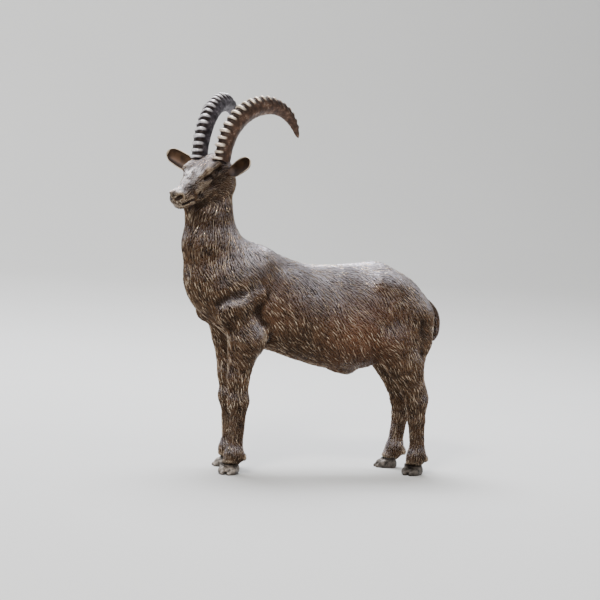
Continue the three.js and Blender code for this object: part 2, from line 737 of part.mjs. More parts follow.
function headPiece(horns, ears, beard) {
  const whole = surface(body, [-168, -54, 204], [-84, 26, 268], CELL.head);
  const cuts = [
    ...horns.map((rings) => socket(rings, 4)),
    ...ears.map((rings) => socket(rings, 4)),
    socket(beard, beard.length),
    ...sides.flatMap((side) => [
      eyeBall(side, EYE_RADIUS + GAP),
      dent([NOSE + 2.5, 3.6 * side, -5.4], [2, 1.2, 1]),
      dent([NOSE - 5, 6.2 * side, -11.6], [9, 1.6, 0.7]),
    ]),
    dent([NOSE + 3.4, 0, -11.2], [2.4, 5, 0.7]),
  ];
  const parted = cutAway(whole, HEAD_FROM_NECK, NEAR_SIDE);
  return cuts.reduce((piece, cut) => piece.subtract(cut), parted);
}

// The figure, each piece a mesh with its own finish
const figure = new THREE.Group();
figure.position.set(...FEET_MIDDLE);

function add(name, piece, finish) {
  const { vertProperties, triVerts } = welded(largest(piece)).getMesh();
  const geometry = new THREE.BufferGeometry();
  geometry.setAttribute("position", new THREE.BufferAttribute(vertProperties, 3));
  geometry.setIndex(new THREE.BufferAttribute(triVerts, 1));
  geometry.computeVertexNormals();
  const mesh = new THREE.Mesh(geometry, new THREE.MeshStandardMaterial(finish));
  mesh.name = name;
  figure.add(mesh);
}

const horns = sides.map(hornRings);
const ears = sides.map(earRings);
const beard = lockRings(BEARD);

add("torso", torsoPiece(), FINISH.coat);
add("neck", neckPiece(), FINISH.coat);
add("head", headPiece(horns, ears, beard), FINISH.face);
add("tail", skinOver(TAIL_RINGS), FINISH.coat);
add("beard", skinOver(beard), FINISH.coat);
Object.entries(BOTH_SIDES).forEach(([name, side], i) => {
  add(`horn_${name}`, skinOver(horns[i]), FINISH.horn);
  add(`ear_${name}`, skinOver(ears[i]), FINISH.face);
  add(`eye_${name}`, eyeBall(side, EYE_RADIUS), FINISH.eye);
});
for (const [name, leg] of Object.entries(LEGS)) {
  const [high, plane] = leg.elbow ? [116, TORSO_FROM_FORE_LEG] : [124, TORSO_FROM_HIND_LEG];
  add(`leg_${name}`, legPiece(leg, high, plane), FINISH.coat);
  add(`hoof_${name}`, hoof(leg), FINISH.hoof);
}

export default figure;
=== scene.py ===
# %% [markdown]
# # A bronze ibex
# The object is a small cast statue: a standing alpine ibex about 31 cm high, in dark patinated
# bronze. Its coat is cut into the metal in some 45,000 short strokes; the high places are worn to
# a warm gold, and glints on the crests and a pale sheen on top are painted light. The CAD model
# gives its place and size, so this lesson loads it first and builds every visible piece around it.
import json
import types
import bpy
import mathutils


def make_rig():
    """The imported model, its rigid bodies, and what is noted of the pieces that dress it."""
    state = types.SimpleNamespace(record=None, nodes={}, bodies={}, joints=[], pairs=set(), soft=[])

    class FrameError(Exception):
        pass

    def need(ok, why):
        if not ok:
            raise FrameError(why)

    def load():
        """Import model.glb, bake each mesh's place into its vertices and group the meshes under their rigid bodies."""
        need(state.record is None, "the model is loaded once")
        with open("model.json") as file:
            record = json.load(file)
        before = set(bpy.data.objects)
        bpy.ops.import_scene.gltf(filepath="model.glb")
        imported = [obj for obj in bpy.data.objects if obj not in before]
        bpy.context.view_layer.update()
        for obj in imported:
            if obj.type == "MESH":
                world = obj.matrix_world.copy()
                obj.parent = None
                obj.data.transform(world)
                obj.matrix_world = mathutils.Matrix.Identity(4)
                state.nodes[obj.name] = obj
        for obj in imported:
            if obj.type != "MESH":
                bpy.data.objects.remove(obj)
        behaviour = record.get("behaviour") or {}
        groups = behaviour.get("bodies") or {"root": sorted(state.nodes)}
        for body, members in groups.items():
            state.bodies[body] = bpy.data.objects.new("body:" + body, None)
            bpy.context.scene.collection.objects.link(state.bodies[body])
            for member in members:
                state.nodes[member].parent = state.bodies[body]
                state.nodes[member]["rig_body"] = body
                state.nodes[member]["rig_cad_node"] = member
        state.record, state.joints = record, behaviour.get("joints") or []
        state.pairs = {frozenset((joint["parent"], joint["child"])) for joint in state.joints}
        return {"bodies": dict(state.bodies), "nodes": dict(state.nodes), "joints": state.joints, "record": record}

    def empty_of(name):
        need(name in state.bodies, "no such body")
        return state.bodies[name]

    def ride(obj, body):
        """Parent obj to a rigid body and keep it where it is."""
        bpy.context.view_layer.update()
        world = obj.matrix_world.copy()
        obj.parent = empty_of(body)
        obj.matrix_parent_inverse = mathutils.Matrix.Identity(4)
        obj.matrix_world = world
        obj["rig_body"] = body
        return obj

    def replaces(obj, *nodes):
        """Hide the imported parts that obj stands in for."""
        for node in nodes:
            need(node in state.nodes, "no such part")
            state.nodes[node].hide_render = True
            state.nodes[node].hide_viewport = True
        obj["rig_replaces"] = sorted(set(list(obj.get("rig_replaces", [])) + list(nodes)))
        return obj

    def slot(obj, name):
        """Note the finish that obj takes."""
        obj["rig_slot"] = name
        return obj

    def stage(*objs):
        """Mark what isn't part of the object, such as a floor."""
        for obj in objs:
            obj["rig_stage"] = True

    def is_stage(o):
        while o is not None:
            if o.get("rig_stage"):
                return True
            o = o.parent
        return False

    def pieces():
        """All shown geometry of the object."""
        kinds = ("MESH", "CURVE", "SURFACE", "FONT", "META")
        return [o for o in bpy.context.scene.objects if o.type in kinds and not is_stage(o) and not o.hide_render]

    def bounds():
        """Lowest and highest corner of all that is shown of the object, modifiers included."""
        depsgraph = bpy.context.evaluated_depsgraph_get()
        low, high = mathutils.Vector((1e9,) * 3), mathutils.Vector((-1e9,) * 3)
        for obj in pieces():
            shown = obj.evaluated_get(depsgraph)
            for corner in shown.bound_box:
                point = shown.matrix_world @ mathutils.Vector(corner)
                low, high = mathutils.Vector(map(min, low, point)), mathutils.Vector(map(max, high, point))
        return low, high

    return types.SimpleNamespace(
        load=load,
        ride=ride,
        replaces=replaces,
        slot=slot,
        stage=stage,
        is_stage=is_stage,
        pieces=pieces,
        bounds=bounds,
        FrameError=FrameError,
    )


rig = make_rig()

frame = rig.load()
CAD_BOX = [list(corner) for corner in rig.bounds()]

import json
import math

import bpy
import numpy as np

MM = 0.001
FEET_MIDDLE = np.array([21.7, -11.7, 0.0])  # the middle of the four feet, from the frame's origin
SIDES = {"left": -1, "right": 1}
print("nodes in the frame:", len(frame["nodes"]))

# %% [markdown]
# ## Clay
# A sculptor builds an animal from rolls and balls of clay and smooths the joins. The same thing
# in code is a distance field: a grid of numbers that says how far each place is from the surface,
# below zero inside. Rolls (bars) and balls (lumps) are added with a soft join, or carved out.
# The whole body comes out of it as one skin with no seams, which separate meshes cannot give.


# %% Bars and lumps
def bar(a, ra, b, rb, wide=1.0):
    """A roll from a to b, its radius going from ra to rb, `wide` times as wide across."""
    a, b = np.array(a, float), np.array(b, float)
    d = b - a

    def distance(x, y, z):
        px, py, pz = x - a[0], y - a[1], z - a[2]
        t = np.clip((px * d[0] + py * d[1] + pz * d[2]) / (d @ d), 0, 1)
        off = (px - t * d[0]) ** 2 + ((py - t * d[1]) / wide) ** 2 + (pz - t * d[2]) ** 2
        return np.sqrt(off) - (ra + t * (rb - ra))

    reach = max(ra, rb) * max(1.0, wide)
    return distance, np.minimum(a, b) - reach, np.maximum(a, b) + reach


def lump(centre, radii):
    """A ball with its three half-sizes."""
    centre, radii = np.array(centre, float), np.array(radii, float)

    def distance(x, y, z):
        r = np.sqrt(sum(((v - c) / h) ** 2 for v, c, h in zip((x, y, z), centre, radii)))
        return (r - 1) * radii.min()

    return distance, centre - radii, centre + radii


# %% [markdown]
# ## The grid
# Each grid line has its own place, so the lines can lie close together around the head, where the
# forms are small, and further apart over the trunk. A form is worked out only in the box around
# it. Where it meets the clay that is there, the lower of the two distances counts, and a little is
# taken off it near the meeting, which rounds the join.

# %% The grid of clay
CELL_CORNERS = [(i, j, k) for k in (0, 1) for j in (0, 1) for i in (0, 1)]
CELL_EDGES = [
    (m, n)
    for m, p in enumerate(CELL_CORNERS)
    for n, q in enumerate(CELL_CORNERS)
    if m < n and sum(abs(s - t) for s, t in zip(p, q)) == 1
]
EMPTY = 40.0  # the distance that a grid without clay holds, in millimetres
ADD_REACH, CARVE_REACH = 6, 2  # clay is worked this far past a form's box and its soft join


def rounding(a, b, k):
    """What a soft join of width k changes where two distances come close."""
    h = np.maximum(k - np.abs(a - b), 0) / k
    return h * h * k / 4


class Clay:
    """A distance field on a grid whose lines may lie closer together where detail is wanted."""

    def __init__(self, xs, ys, zs):
        self.lines = [np.asarray(v, float) for v in (xs, ys, zs)]
        self.field = np.full([len(v) for v in self.lines], EMPTY, np.float32)

    def near(self, low, high):
        """The part of the grid from low to high, and its three axes ready to be combined."""
        cut = tuple(
            slice(np.searchsorted(line, a), np.searchsorted(line, b))
            for line, a, b in zip(self.lines, low, high)
        )
        return cut, np.ix_(*(line[part] for line, part in zip(self.lines, cut)))

    def add(self, form, k):
        distance, low, high = form
        cut, axes = self.near(low - k - ADD_REACH, high + k + ADD_REACH)
        old = self.field[cut]
        if old.size:
            new = distance(*axes)
            self.field[cut] = np.minimum(old, new) - rounding(old, new, k)

    def carve(self, form, k):
        distance, low, high = form
        cut, axes = self.near(low - k - CARVE_REACH, high + k + CARVE_REACH)
        old, new = self.field[cut], -distance(*axes)
        self.field[cut] = np.maximum(old, new) + rounding(old, new, k)

    def surface(self):
        """The surface as vertices and triangles: one vertex in each cell that it crosses."""
        counts = [n - 1 for n in self.field.shape]
        inside = [
            self.field[tuple(slice(c, n + c) for c, n in zip(corner, counts))] < 0
            for corner in CELL_CORNERS
        ]
        crossed = np.logical_or.reduce(inside) & ~np.logical_and.reduce(inside)
        cells = np.argwhere(crossed)
        number = np.full(crossed.shape, -1)
        number[tuple(cells.T)] = np.arange(len(cells))
        value = [self.field[tuple((cells + corner).T)].astype(float) for corner in CELL_CORNERS]
        place = [
            np.stack([line[cells[:, a] + corner[a]] for a, line in enumerate(self.lines)], 1)
            for corner in CELL_CORNERS
        ]
        total, hits = np.zeros((len(cells), 3)), np.zeros(len(cells))
        for m, n in CELL_EDGES:
            hit = (value[m] < 0) != (value[n] < 0)
            share = np.where(hit, value[m] / np.where(hit, value[m] - value[n], 1), 0)
            total += hit[:, None] * (place[m] + share[:, None] * (place[n] - place[m]))
            hits += hit
        vertices = total / hits[:, None]
        return vertices, self.triangles(vertices, number)

    def triangles(self, vertices, number):
        """Two triangles across each grid edge that the surface crosses, cut the shorter way."""
        inside = self.field < 0
        counts = [n - 1 for n in inside.shape]
        step = np.eye(3, dtype=int)
        found = []
        for axis in range(3):
            u, v = (axis + 1) % 3, (axis + 2) % 3
            start = inside[tuple(slice(1, n) for n in counts)]
            end = inside[tuple(slice(1 + s, n + s) for s, n in zip(step[axis], counts))]
            at = np.argwhere(start != end) + 1
            around = [
                number[tuple((at - du * step[u] - dv * step[v]).T)]
                for du, dv in ((1, 1), (0, 1), (0, 0), (1, 0))
            ]
            quad = np.stack(around, 1)
            leaving = start[tuple((at - 1).T)]
            quad[~leaving] = quad[~leaving][:, ::-1]
            p = vertices[quad]
            first = np.linalg.norm(p[:, 0] - p[:, 2], axis=1)
            second = np.linalg.norm(p[:, 1] - p[:, 3], axis=1)
            longer = first > second
            quad[longer] = np.roll(quad[longer], -1, axis=1)
            found += [quad[:, [0, 1, 2]], quad[:, [0, 2, 3]]]
        return np.concatenate(found)


print("a cell has", len(CELL_CORNERS), "corners and", len(CELL_EDGES), "edges")


# %% Steps, curves and directions
def smoothstep(v, low, high):
    """From 0 at low to 1 at high, easing at both ends."""
    t = np.clip((v - low) / (high - low), 0, 1)
    return t * t * (3 - 2 * t)


def curve(rows, x, column=1):
    """A smooth curve through rows of (x, value, value ...), read at x."""
    rows = np.array(rows, float)
    keys, values = rows[:, 0], rows[:, column]
    slopes = np.gradient(values, keys)
    slopes[1:-1] = (values[2:] - values[:-2]) / (keys[2:] - keys[:-2])
    x = np.clip(x, keys[0], keys[-1])
    i = np.clip(np.searchsorted(keys, x, side="right") - 1, 0, len(keys) - 2)
    span = keys[i + 1] - keys[i]
    t = (x - keys[i]) / span
    return (
        values[i] * (2 * t**3 - 3 * t**2 + 1)
        + slopes[i] * span * (t**3 - 2 * t**2 + t)
        + values[i + 1] * (3 * t**2 - 2 * t**3)
        + slopes[i + 1] * span * (t**3 - t**2)
    )


def unit(v):
    return v / np.linalg.norm(v)


def square_to(v, axis):
    """The part of v that is square to an axis of length one, itself made one long."""
    return unit(v - (v @ axis) * axis)


# %% [markdown]
# ## Body
# The trunk of the statue is one long egg-like form, so it is lofted: its back line, belly line
# and half-width are smooth curves along the body. Chest, neck, shoulders, haunches and legs are
# bars and lumps on it, at the places that the CAD model has them. Each form is listed with the
# width of its soft join.

# %% Trunk
TRUNK = [  # along the body: back line, belly line, half-width
    (-90, 192, 124, 22.4),
    (-68, 188.5, 105, 27.2),
    (-45, 179.5, 99.5, 30.1),
    (-20, 172.5, 92, 31.7),
    (5, 172.5, 86.5, 32.0),
    (28, 175, 86, 32.0),
    (48, 176.5, 91, 30.4),
    (66, 163.5, 105, 25.6),
    (80, 150, 118, 19.2),
]
NARROWER_ABOVE = 0.14  # the back is this much narrower than the middle, and the belly wider


def trunk_distance(x, y, z):
    at = np.clip(x, TRUNK[0][0], TRUNK[-1][0])
    top, belly, half = (curve(TRUNK, at, c) for c in (1, 2, 3))
    height = (top - belly) / 2
    level = (z - (top + belly) / 2) / height
    width = half * (1 - NARROWER_ABOVE * np.clip(level, -1, 1))
    off = (np.hypot(y / width, level) - 1) * np.minimum(width, height)
    return np.where(x == at, off, np.hypot(np.maximum(off, 0), x - at))


trunk = (trunk_distance, np.array([-90.0, -37, 80]), np.array([80.0, 37, 196]))
CHEST = [
    (lump([-93, 0, 156], [29, 25, 30]), 9),
    (bar([-99, 0, 146], 15.5, [-72, 0, 125], 19), 10),
]
NECK = [
    (bar([-96.5, 0, 164], 28.2, [-104, 0, 185], 23.3, 0.9), 7),
    (bar([-104, 0, 185], 23, [-108, 0, 210], 18, 0.94), 5),
    (bar([-107.5, 0, 210], 17.6, [-105, -1, 238], 14.5), 7),
]
SHEATH = [(bar([15, 0, 89.5], 5, [25, 0, 86.5], 4.8, 1.2), 7)]


def shoulder(side):
    return [
        (bar([-62, 13 * side, 170], 9, [-93, 20 * side, 142], 13.5), 14),
        (bar([-90, 20 * side, 138], 12.5, [-74, 22 * side, 110], 12), 8),
    ]


def haunch(side):
    return [
        (lump([57, 14 * side, 144.8], [26, 16, 22.5]), 12),
        (bar([69, 14 * side, 133.5], 18.8, [58, 19 * side, 112], 16, 0.82), 9),
        (bar([79, 12 * side, 130], 16, [79.5, 15 * side, 114], 13.2), 10),
        (bar([79, 15 * side, 114], 12, [77, 19 * side, 86], 8, 0.85), 8),
    ]


BODY = [
    (trunk, 1), *CHEST, *shoulder(-1), *shoulder(1), *NECK, *haunch(-1), *haunch(1), *SHEATH,
]
print("forms of the body:", len(BODY))

# %% [markdown]
# ## Legs
# Each leg of the statue stands in its own place, so one function builds a fore leg and one a hind
# leg from the places of the joints. Knee, hock and fetlock are lumps, the long bones are bars, and
# the dewclaws are two small lumps behind each fetlock.

# %% Legs
STANCE = 20.5
HOOF_HEIGHT = 8.5
CORONET_SLOPE = 0.2
LEGS = {
    "front_left": dict(side=-1, elbow=-78, knee=-79, fetlock=-79.5, hoof=-84, toe_out=52),
    "front_right": dict(side=1, elbow=-73.5, knee=-71, fetlock=-68.5, hoof=-71.5, toe_out=8),
    "hind_left": dict(side=-1, stifle=54, hock=82, fetlock=85.5, hoof=82, toe_out=40),
    "hind_right": dict(side=1, stifle=60, hock=86.5, fetlock=84.5, hoof=77, toe_out=4),
}


def foot(x, y, hoof):
    return [
        (lump([x, y, 16.5], [7.7, 7.4, 7.5]), 4),
        (bar([x - 1.5, y, 14], 6.7, [hoof, y, 5], 6.3), 4),
        (lump([x + 7, y - 3.4, 14], [2.7, 2.2, 3.4]), 1.5),
        (lump([x + 7, y + 3.4, 14], [2.7, 2.2, 3.4]), 1.5),
    ]


def fore_leg(side, elbow, knee, fetlock, hoof):
    y = STANCE * side
    return [
        (bar([elbow, 1.08 * y, 108], 13.5, [knee - 2, y, 78], 8.8, 0.9), 8),
        (bar([knee - 2, y, 78], 8.6, [knee, y, 61], 7.4), 4),
        (lump([knee - 1, y, 59], [8, 7.4, 8.5]), 4),
        (bar([knee, y, 60], 7, [fetlock, y, 22], 6, 0.95), 5),
        *foot(fetlock, y, hoof),
    ]


def hind_leg(side, stifle, hock, fetlock, hoof):
    y = STANCE * side
    return [
        (bar([stifle, 1.1 * y, 112], 15, [stifle + 13, y, 94], 14, 0.78), 9),
        (bar([stifle + 13, y, 94], 14, [hock - 5, y, 73], 9.8, 0.85), 6),
        (bar([hock - 5, y, 74], 8.4, [hock, y, 60], 8.4, 0.9), 4),
        (bar([hock - 3, y, 84], 4.6, [hock + 6.8, y, 65], 4, 0.9), 4),
        (bar([hock, y, 60], 8.4, [hock + 1, y, 46], 6.8, 0.9), 4),
        (bar([hock + 1, y, 46], 6.6, [fetlock, y, 22], 6.2), 4),
        *foot(fetlock, y, hoof),
    ]


def leg_forms(leg):
    places = {name: value for name, value in leg.items() if name != "toe_out"}
    return fore_leg(**places) if "elbow" in leg else hind_leg(**places)


print("forms of each leg:", {name: len(leg_forms(leg)) for name, leg in LEGS.items()})

# %% [markdown]
# ## Head
# The head is turned to the animal's left and a little down, so it is modelled along its own three
# axes, forwards, left and up from the poll, and each form is turned into the body's frame. That
# way a cheek or a brow keeps its plain numbers whatever way the head looks.

# %% Head axes
POLL = np.array([-111.4, -4, 256.9])
YAW, PITCH = math.radians(32), math.radians(34)
CY, SY, CP, SP = math.cos(YAW), math.sin(YAW), math.cos(PITCH), math.sin(PITCH)
LEVEL = np.array([-CY, -SY, 0.0])
FORWARD = np.array([-CY * CP, -SY * CP, -SP])
LEFT = np.array([SY, -CY, 0.0])
UP = np.array([-CY * SP, -SY * SP, CP])
HEAD_LENGTH = 56
NOSE = HEAD_LENGTH - 4.5  # the middle of the nose, forwards from the poll
EYE = (17.0, 12.6, -5.2)


def head_point(f, l, u):
    return POLL + f * FORWARD + l * LEFT + u * UP


def eye_centre(side):
    return head_point(EYE[0], -side * EYE[1], EYE[2])


def on_head(form):
    """A form given along the head's own axes."""
    distance, low, high = form
    corners = [
        head_point(f, l, u)
        for f in (low[0], high[0])
        for l in (low[1], high[1])
        for u in (low[2], high[2])
    ]

    def turned(x, y, z):
        p = (x - POLL[0], y - POLL[1], z - POLL[2])
        f, l, u = (sum(v * a for v, a in zip(p, axis)) for axis in (FORWARD, LEFT, UP))
        return distance(f, l, u)

    return turned, np.min(corners, 0), np.max(corners, 0)


print("the head looks towards", np.round(FORWARD, 2))


# %% Head forms
def cheek(side):
    return [
        (bar([13, 10.5 * side, -2.5], 3.8, [19, 11 * side, -1], 3), 4),
        (bar([6, 6 * side, -22], 8.2, [NOSE - 5, 2.2 * side, -14], 3.8), 6),
        (lump([18, 8 * side, -13], [10, 4.4, 7]), 5),
    ]


HEAD = [
    (lump([2, 0, -13], [14, 13, 12]), 6),
    (bar([8, 0, -12.5], 11.8, [24, 0, -11], 10.5, 1.15), 6),
    (bar([22, 0, -10], 9.6, [NOSE - 1, 0, -7.6], 6.9), 8),
    (bar([12, -7, -4], 4.2, [12, 7, -4], 4.2), 6),
    *cheek(1),
    *cheek(-1),
    (lump([NOSE, 0, -6.6], [5.2, 6.6, 5.8]), 4),
    (lump([NOSE - 2, 0, -13.4], [6.2, 5, 3.4]), 2.5),
    (bar([0, 0, -14], 11, [-2, 0, -28], 12), 8),
]
print("forms of the head:", len(HEAD))


# %% [markdown]
# ## Features
# The details that make the head a portrait are small: the brow over each eye, the hollow under it,
# nostrils, the line of the mouth with its lips. They are added and carved on the same grid, which
# is much finer around the head than on the body. More lists hold the body's creases: the groove
# behind the shoulder, the fold of the flank and the tendons of the legs.

# %% Features to add and carve
def face_added(side):
    return [
        (bar([7, 12.4 * side, -2.2], 2.6, [19, 11.6 * side, -1.4], 2.5), 2.5),
        (bar([19, 11.6 * side, -1.4], 2.5, [26.5, 7.4 * side, -2.6], 1.8), 2.5),
        (bar([12, 13.6 * side, -8.4], 1.4, [22, 12.0 * side, -8.0], 1.3), 2.5),
        (bar([22, 11.2 * side, -9.0], 2.5, [37, 8.2 * side, -9.6], 2.1), 3.5),
        (bar([NOSE + 3.0, 1.8 * side, -3.2], 1.6, [NOSE + 0.6, 5.2 * side, -2.6], 1.5), 2.0),
        (bar([NOSE + 3.6, 2.4 * side, -7.6], 1.6, [NOSE - 8, 6.6 * side, -11.0], 1.6), 2.0),
        (bar([NOSE + 2.0, 2.2 * side, -13.4], 1.8, [NOSE - 8, 5.2 * side, -16.6], 1.6), 2.0),
    ]


def face_carved(side):
    return [
        (bar([9.5, 15.4 * side, -5.2], 2.0, [19.5, 14.4 * side, -4.6], 1.9), 1.6),
        (bar([19.5, 14.4 * side, -4.6], 1.8, [26.5, 10.0 * side, -5.4], 0.9), 1.8),
        (lump([17, 15.6 * side, -5.6], [5.6, 2.2, 3.0]), 1.5),
        (bar([NOSE + 5.2, 3.2 * side, -4.8], 1.3, [NOSE + 2.6, 5.8 * side, -4.2], 1.7), 0.9),
        (bar([NOSE + 3.6, 0, -10.2], 0.7, [NOSE + 1.4, 5.2 * side, -11.2], 0.9), 0.9),
        (bar([NOSE + 1.4, 5.2 * side, -11.2], 1.05, [NOSE - 9, 7.8 * side, -13.8], 1.0), 0.9),
        (bar([21, 12.8 * side, -12.8], 1.5, [34, 9.2 * side, -13.2], 0.9), 6.0),
    ]


def body_added(side):
    return [
        (bar([-72, 27.0 * side, 147], 5.2, [-86, 26.6 * side, 138], 7.0), 6),
        (bar([-86, 26.6 * side, 138], 7.0, [-98, 21.8 * side, 127], 5.2), 7),
        (bar([-64, 21 * side, 116], 5, [-67, 22 * side, 106], 5), 6),
        (bar([44, 25 * side, 112], 6, [30, 24 * side, 124], 5), 9),
        (bar([-50, 18 * side, 158], 6, [-58, 21 * side, 136], 6), 9),
        (bar([52, 21 * side, 158], 7, [40, 22 * side, 160], 5), 9),
    ]


def body_carved(side):
    return [
        (bar([-76, 37.4 * side, 157], 2, [-90, 36 * side, 149], 2.2), 10),
        (bar([-90, 36 * side, 149], 2.2, [-106, 27.6 * side, 140], 2), 10),
        (bar([-54, 38 * side, 130], 5.5, [-56, 34 * side, 106], 4.5), 9),
        (bar([30, 38 * side, 104], 4, [40, 33 * side, 97], 4), 8),
        (bar([80, 32 * side, 128], 3, [84, 30 * side, 104], 3), 8),
    ]


def leg_carved(leg):
    y, fetlock = STANCE * leg["side"], leg["fetlock"]
    middle = leg.get("knee", leg.get("hock"))
    tendons = [
        (bar([middle + 2.2, y + hand * 8.2, 50], 1.7, [fetlock + 2.2, y + hand * 7.6, 24], 1.6), 2.5)
        for hand in (-1, 1)
    ]
    return [*tendons, (bar([fetlock + 8.8, y, 22], 1.6, [fetlock + 8.8, y, 9], 1.4), 2)]


print("features on each side of the face:", len(face_added(1) + face_carved(1)))

# %% [markdown]
# ## Modelling
# The head is made on a clay grid of its own and joined to the neck in one go, with the same wide
# fillet all round. Joined form by form, every lump of the face would pull at the throat. The
# features come last, on the finished whole.

# %% Model the body
FINE, COARSE = 0.7, 1.65
CLAY_LINES = [  # along x, y and z: low end, fine from here, to here, high end
    (-156, -153.5, -84, 102),
    (-43, -34, 18, 43),
    (2, 207, 262, 264),
]
HEAD_FILLET = 6.0


def lines(low, fine_low, fine_high, high):
    """Grid lines from low to high, close together between fine_low and fine_high."""
    return np.concatenate([
        np.arange(low, fine_low, COARSE),
        np.arange(fine_low, fine_high, FINE),
        np.arange(fine_high, high, COARSE),
    ])


clay = Clay(*(lines(*row) for row in CLAY_LINES))
for form, k in BODY:
    clay.add(form, k)
for leg in LEGS.values():
    for form, k in leg_forms(leg):
        clay.add(form, k)
head_clay = Clay(*clay.lines)
for form, k in HEAD:
    head_clay.add(on_head(form), k)
join = rounding(clay.field, head_clay.field, HEAD_FILLET)
clay.field = np.minimum(clay.field, head_clay.field) - join
for side in SIDES.values():
    for form, k in body_added(side):
        clay.add(form, k)
    for form, k in face_added(side):
        clay.add(on_head(form), k)
    for form, k in body_carved(side):
        clay.carve(form, k)
    for form, k in face_carved(side):
        clay.carve(on_head(form), k)
for leg in LEGS.values():
    for form, k in leg_carved(leg):
        clay.carve(form, k)
print("grid of clay:", clay.field.shape)


# %% [markdown]
# ## Where the legs end
# Each hoof is a piece of its own with a slanting top, so the clay of the leg is cut there, a little
# inside the hoof. Then the whole field is raised by the depth of the coat, which draws the skin in,
# so that the strokes on it come out at the size of the CAD model.

# %% Cut the legs at the hooves
SUNK = 0.5  # the skin goes this far into a hoof
FEET_BELOW = 30  # only clay below this height belongs to the feet
COAT_DEPTH = 0.25


def coronet(leg):
    """A point and the upward normal of the slanting top of a hoof."""
    side, turn = leg["side"], math.radians(leg["toe_out"])
    normal = np.array([CORONET_SLOPE * math.cos(turn), -CORONET_SLOPE * math.sin(turn) * side, 1])
    return np.array([leg["hoof"], STANCE * side, HOOF_HEIGHT]), unit(normal)


x, y, z = np.ix_(*clay.lines)
for leg in LEGS.values():
    point, normal = coronet(leg)
    above = (x - point[0]) * normal[0] + (y - point[1]) * normal[1] + (z - point[2]) * normal[2]
    mine = (z < FEET_BELOW) & (np.sign(y) == leg["side"]) & ((x < 0) == ("elbow" in leg))
    clay.field = np.where(mine, np.maximum(clay.field, -above - SUNK), clay.field)
clay.field += COAT_DEPTH
skin_points, skin_triangles = clay.surface()
print("skin:", len(skin_points), "vertices,", len(skin_triangles), "triangles")


# %% [markdown]
# ## From numbers to a mesh
# All pieces below are given in millimetres from the middle of the feet. One function puts them in
# metres in the frame's own place, because a finished piece sits at the origin with its place in
# its mesh. Another hands a finished piece to the frame: which body carries it, which finish it has
# and which CAD nodes it stands for.

# %% Make a mesh
def add_object(name, data):
    made = bpy.data.objects.new(name, data)
    bpy.context.scene.collection.objects.link(made)
    return made


def mesh_object(name, points, faces, material=None):
    if isinstance(faces, np.ndarray):
        faces = faces.tolist()
    mesh = bpy.data.meshes.new(name)
    mesh.from_pydata(((np.asarray(points) + FEET_MIDDLE) * MM).tolist(), [], faces)
    mesh.shade_smooth()
    mesh.update()
    if material:
        mesh.materials.append(material)
    return add_object(name, mesh)


def put_attribute(made, name, kind, domain, values):
    layer = made.data.attributes.new(name, kind, domain)
    key = "vector" if kind in ("FLOAT_VECTOR", "FLOAT2") else "value"
    numbers = np.asarray(values, np.int32 if kind == "INT" else np.float32)
    layer.data.foreach_set(key, numbers.ravel())


def put_numbers(made, **numbers):
    """Numbers on the points of a piece, by name; a single one is given to all of them."""
    for name, values in numbers.items():
        values = np.broadcast_to(values, len(made.data.vertices))
        put_attribute(made, name, "FLOAT", "POINT", values)


def keep(made, slot, *nodes):
    """A finished piece: it rides on the body, has its finish's slot and stands for CAD nodes."""
    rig.ride(made, "root")
    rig.slot(made, slot)
    if nodes:
        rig.replaces(made, *nodes)
    triangles = sum(len(p.vertices) - 2 for p in made.data.polygons)
    print(f"{made.name}: {triangles} triangles")
    return made


# %% [markdown]
# ## Wires between nodes
# Finishes and repeated shapes are both made with node trees. A long list of links is hard to read,
# so a small class wraps a node's output: adding or multiplying two of them adds the Math node. One
# function makes any other node. Both kinds of tree, for materials and for geometry, can use it.

# %% Wires
class Wire:
    """The output of a node, with arithmetic."""

    def __init__(self, tree, socket):
        self.tree, self.socket = tree, socket

    def math(self, operation, *others, clamp=False):
        settings = {"operation": operation, "use_clamp": clamp}
        return node(self.tree, "ShaderNodeMath", settings, dict(enumerate((self, *others))))

    def __add__(self, other):
        return self.math("ADD", other)

    def __mul__(self, other):
        return self.math("MULTIPLY", other)

    def __sub__(self, other):
        return self.math("SUBTRACT", other)

    def __truediv__(self, other):
        return self.math("DIVIDE", other)

    def __pow__(self, other):
        return self.math("POWER", other)

    def __rsub__(self, other):
        return self.math("MULTIPLY_ADD", -1.0, other)

    def __neg__(self):
        return self.math("MULTIPLY", -1.0)

    __radd__, __rmul__ = __add__, __mul__

    def clamp(self):
        return self.math("ADD", 0.0, clamp=True)

    def smooth(self, low, high):
        """From 0 at low to 1 at high, easing at both ends."""
        return node(self.tree, "ShaderNodeMapRange", {"interpolation_type": "SMOOTHSTEP"},
                    {0: self, 1: low, 2: high, 3: 0.0, 4: 1.0})


def node(tree, kind, settings=None, inputs=None, out=0):
    """A new node in a tree: its settings first, then its sockets by name or number."""
    made = tree.nodes.new(kind)
    for key, value in (settings or {}).items():
        setattr(made, key, value)
    for key, value in (inputs or {}).items():
        if isinstance(value, Wire):
            tree.links.new(value.socket, made.inputs[key])
        else:
            made.inputs[key].default_value = value
    return Wire(tree, made.outputs[out])


def vector_math(tree, operation, *values, out=0):
    return node(tree, "ShaderNodeVectorMath", {"operation": operation}, dict(enumerate(values)), out)


# %% [markdown]
# ## What a finish is made of
# All the finishes of the statue read the same few things: the place on the object, noise of some
# size, how far the surface faces up, and numbers that a piece carries on its own points. Each is
# a short function here. The last one sets the shader, the same way for each kind of metal.

# %% Parts of a finish
def new_finish(name):
    """A new material with its node tree and its shader."""
    material = bpy.data.materials.new(name)
    material.use_nodes = True
    return material, material.node_tree, material.node_tree.nodes["Principled BSDF"]


def object_place(tree):
    return node(tree, "ShaderNodeTexCoord", out="Object")


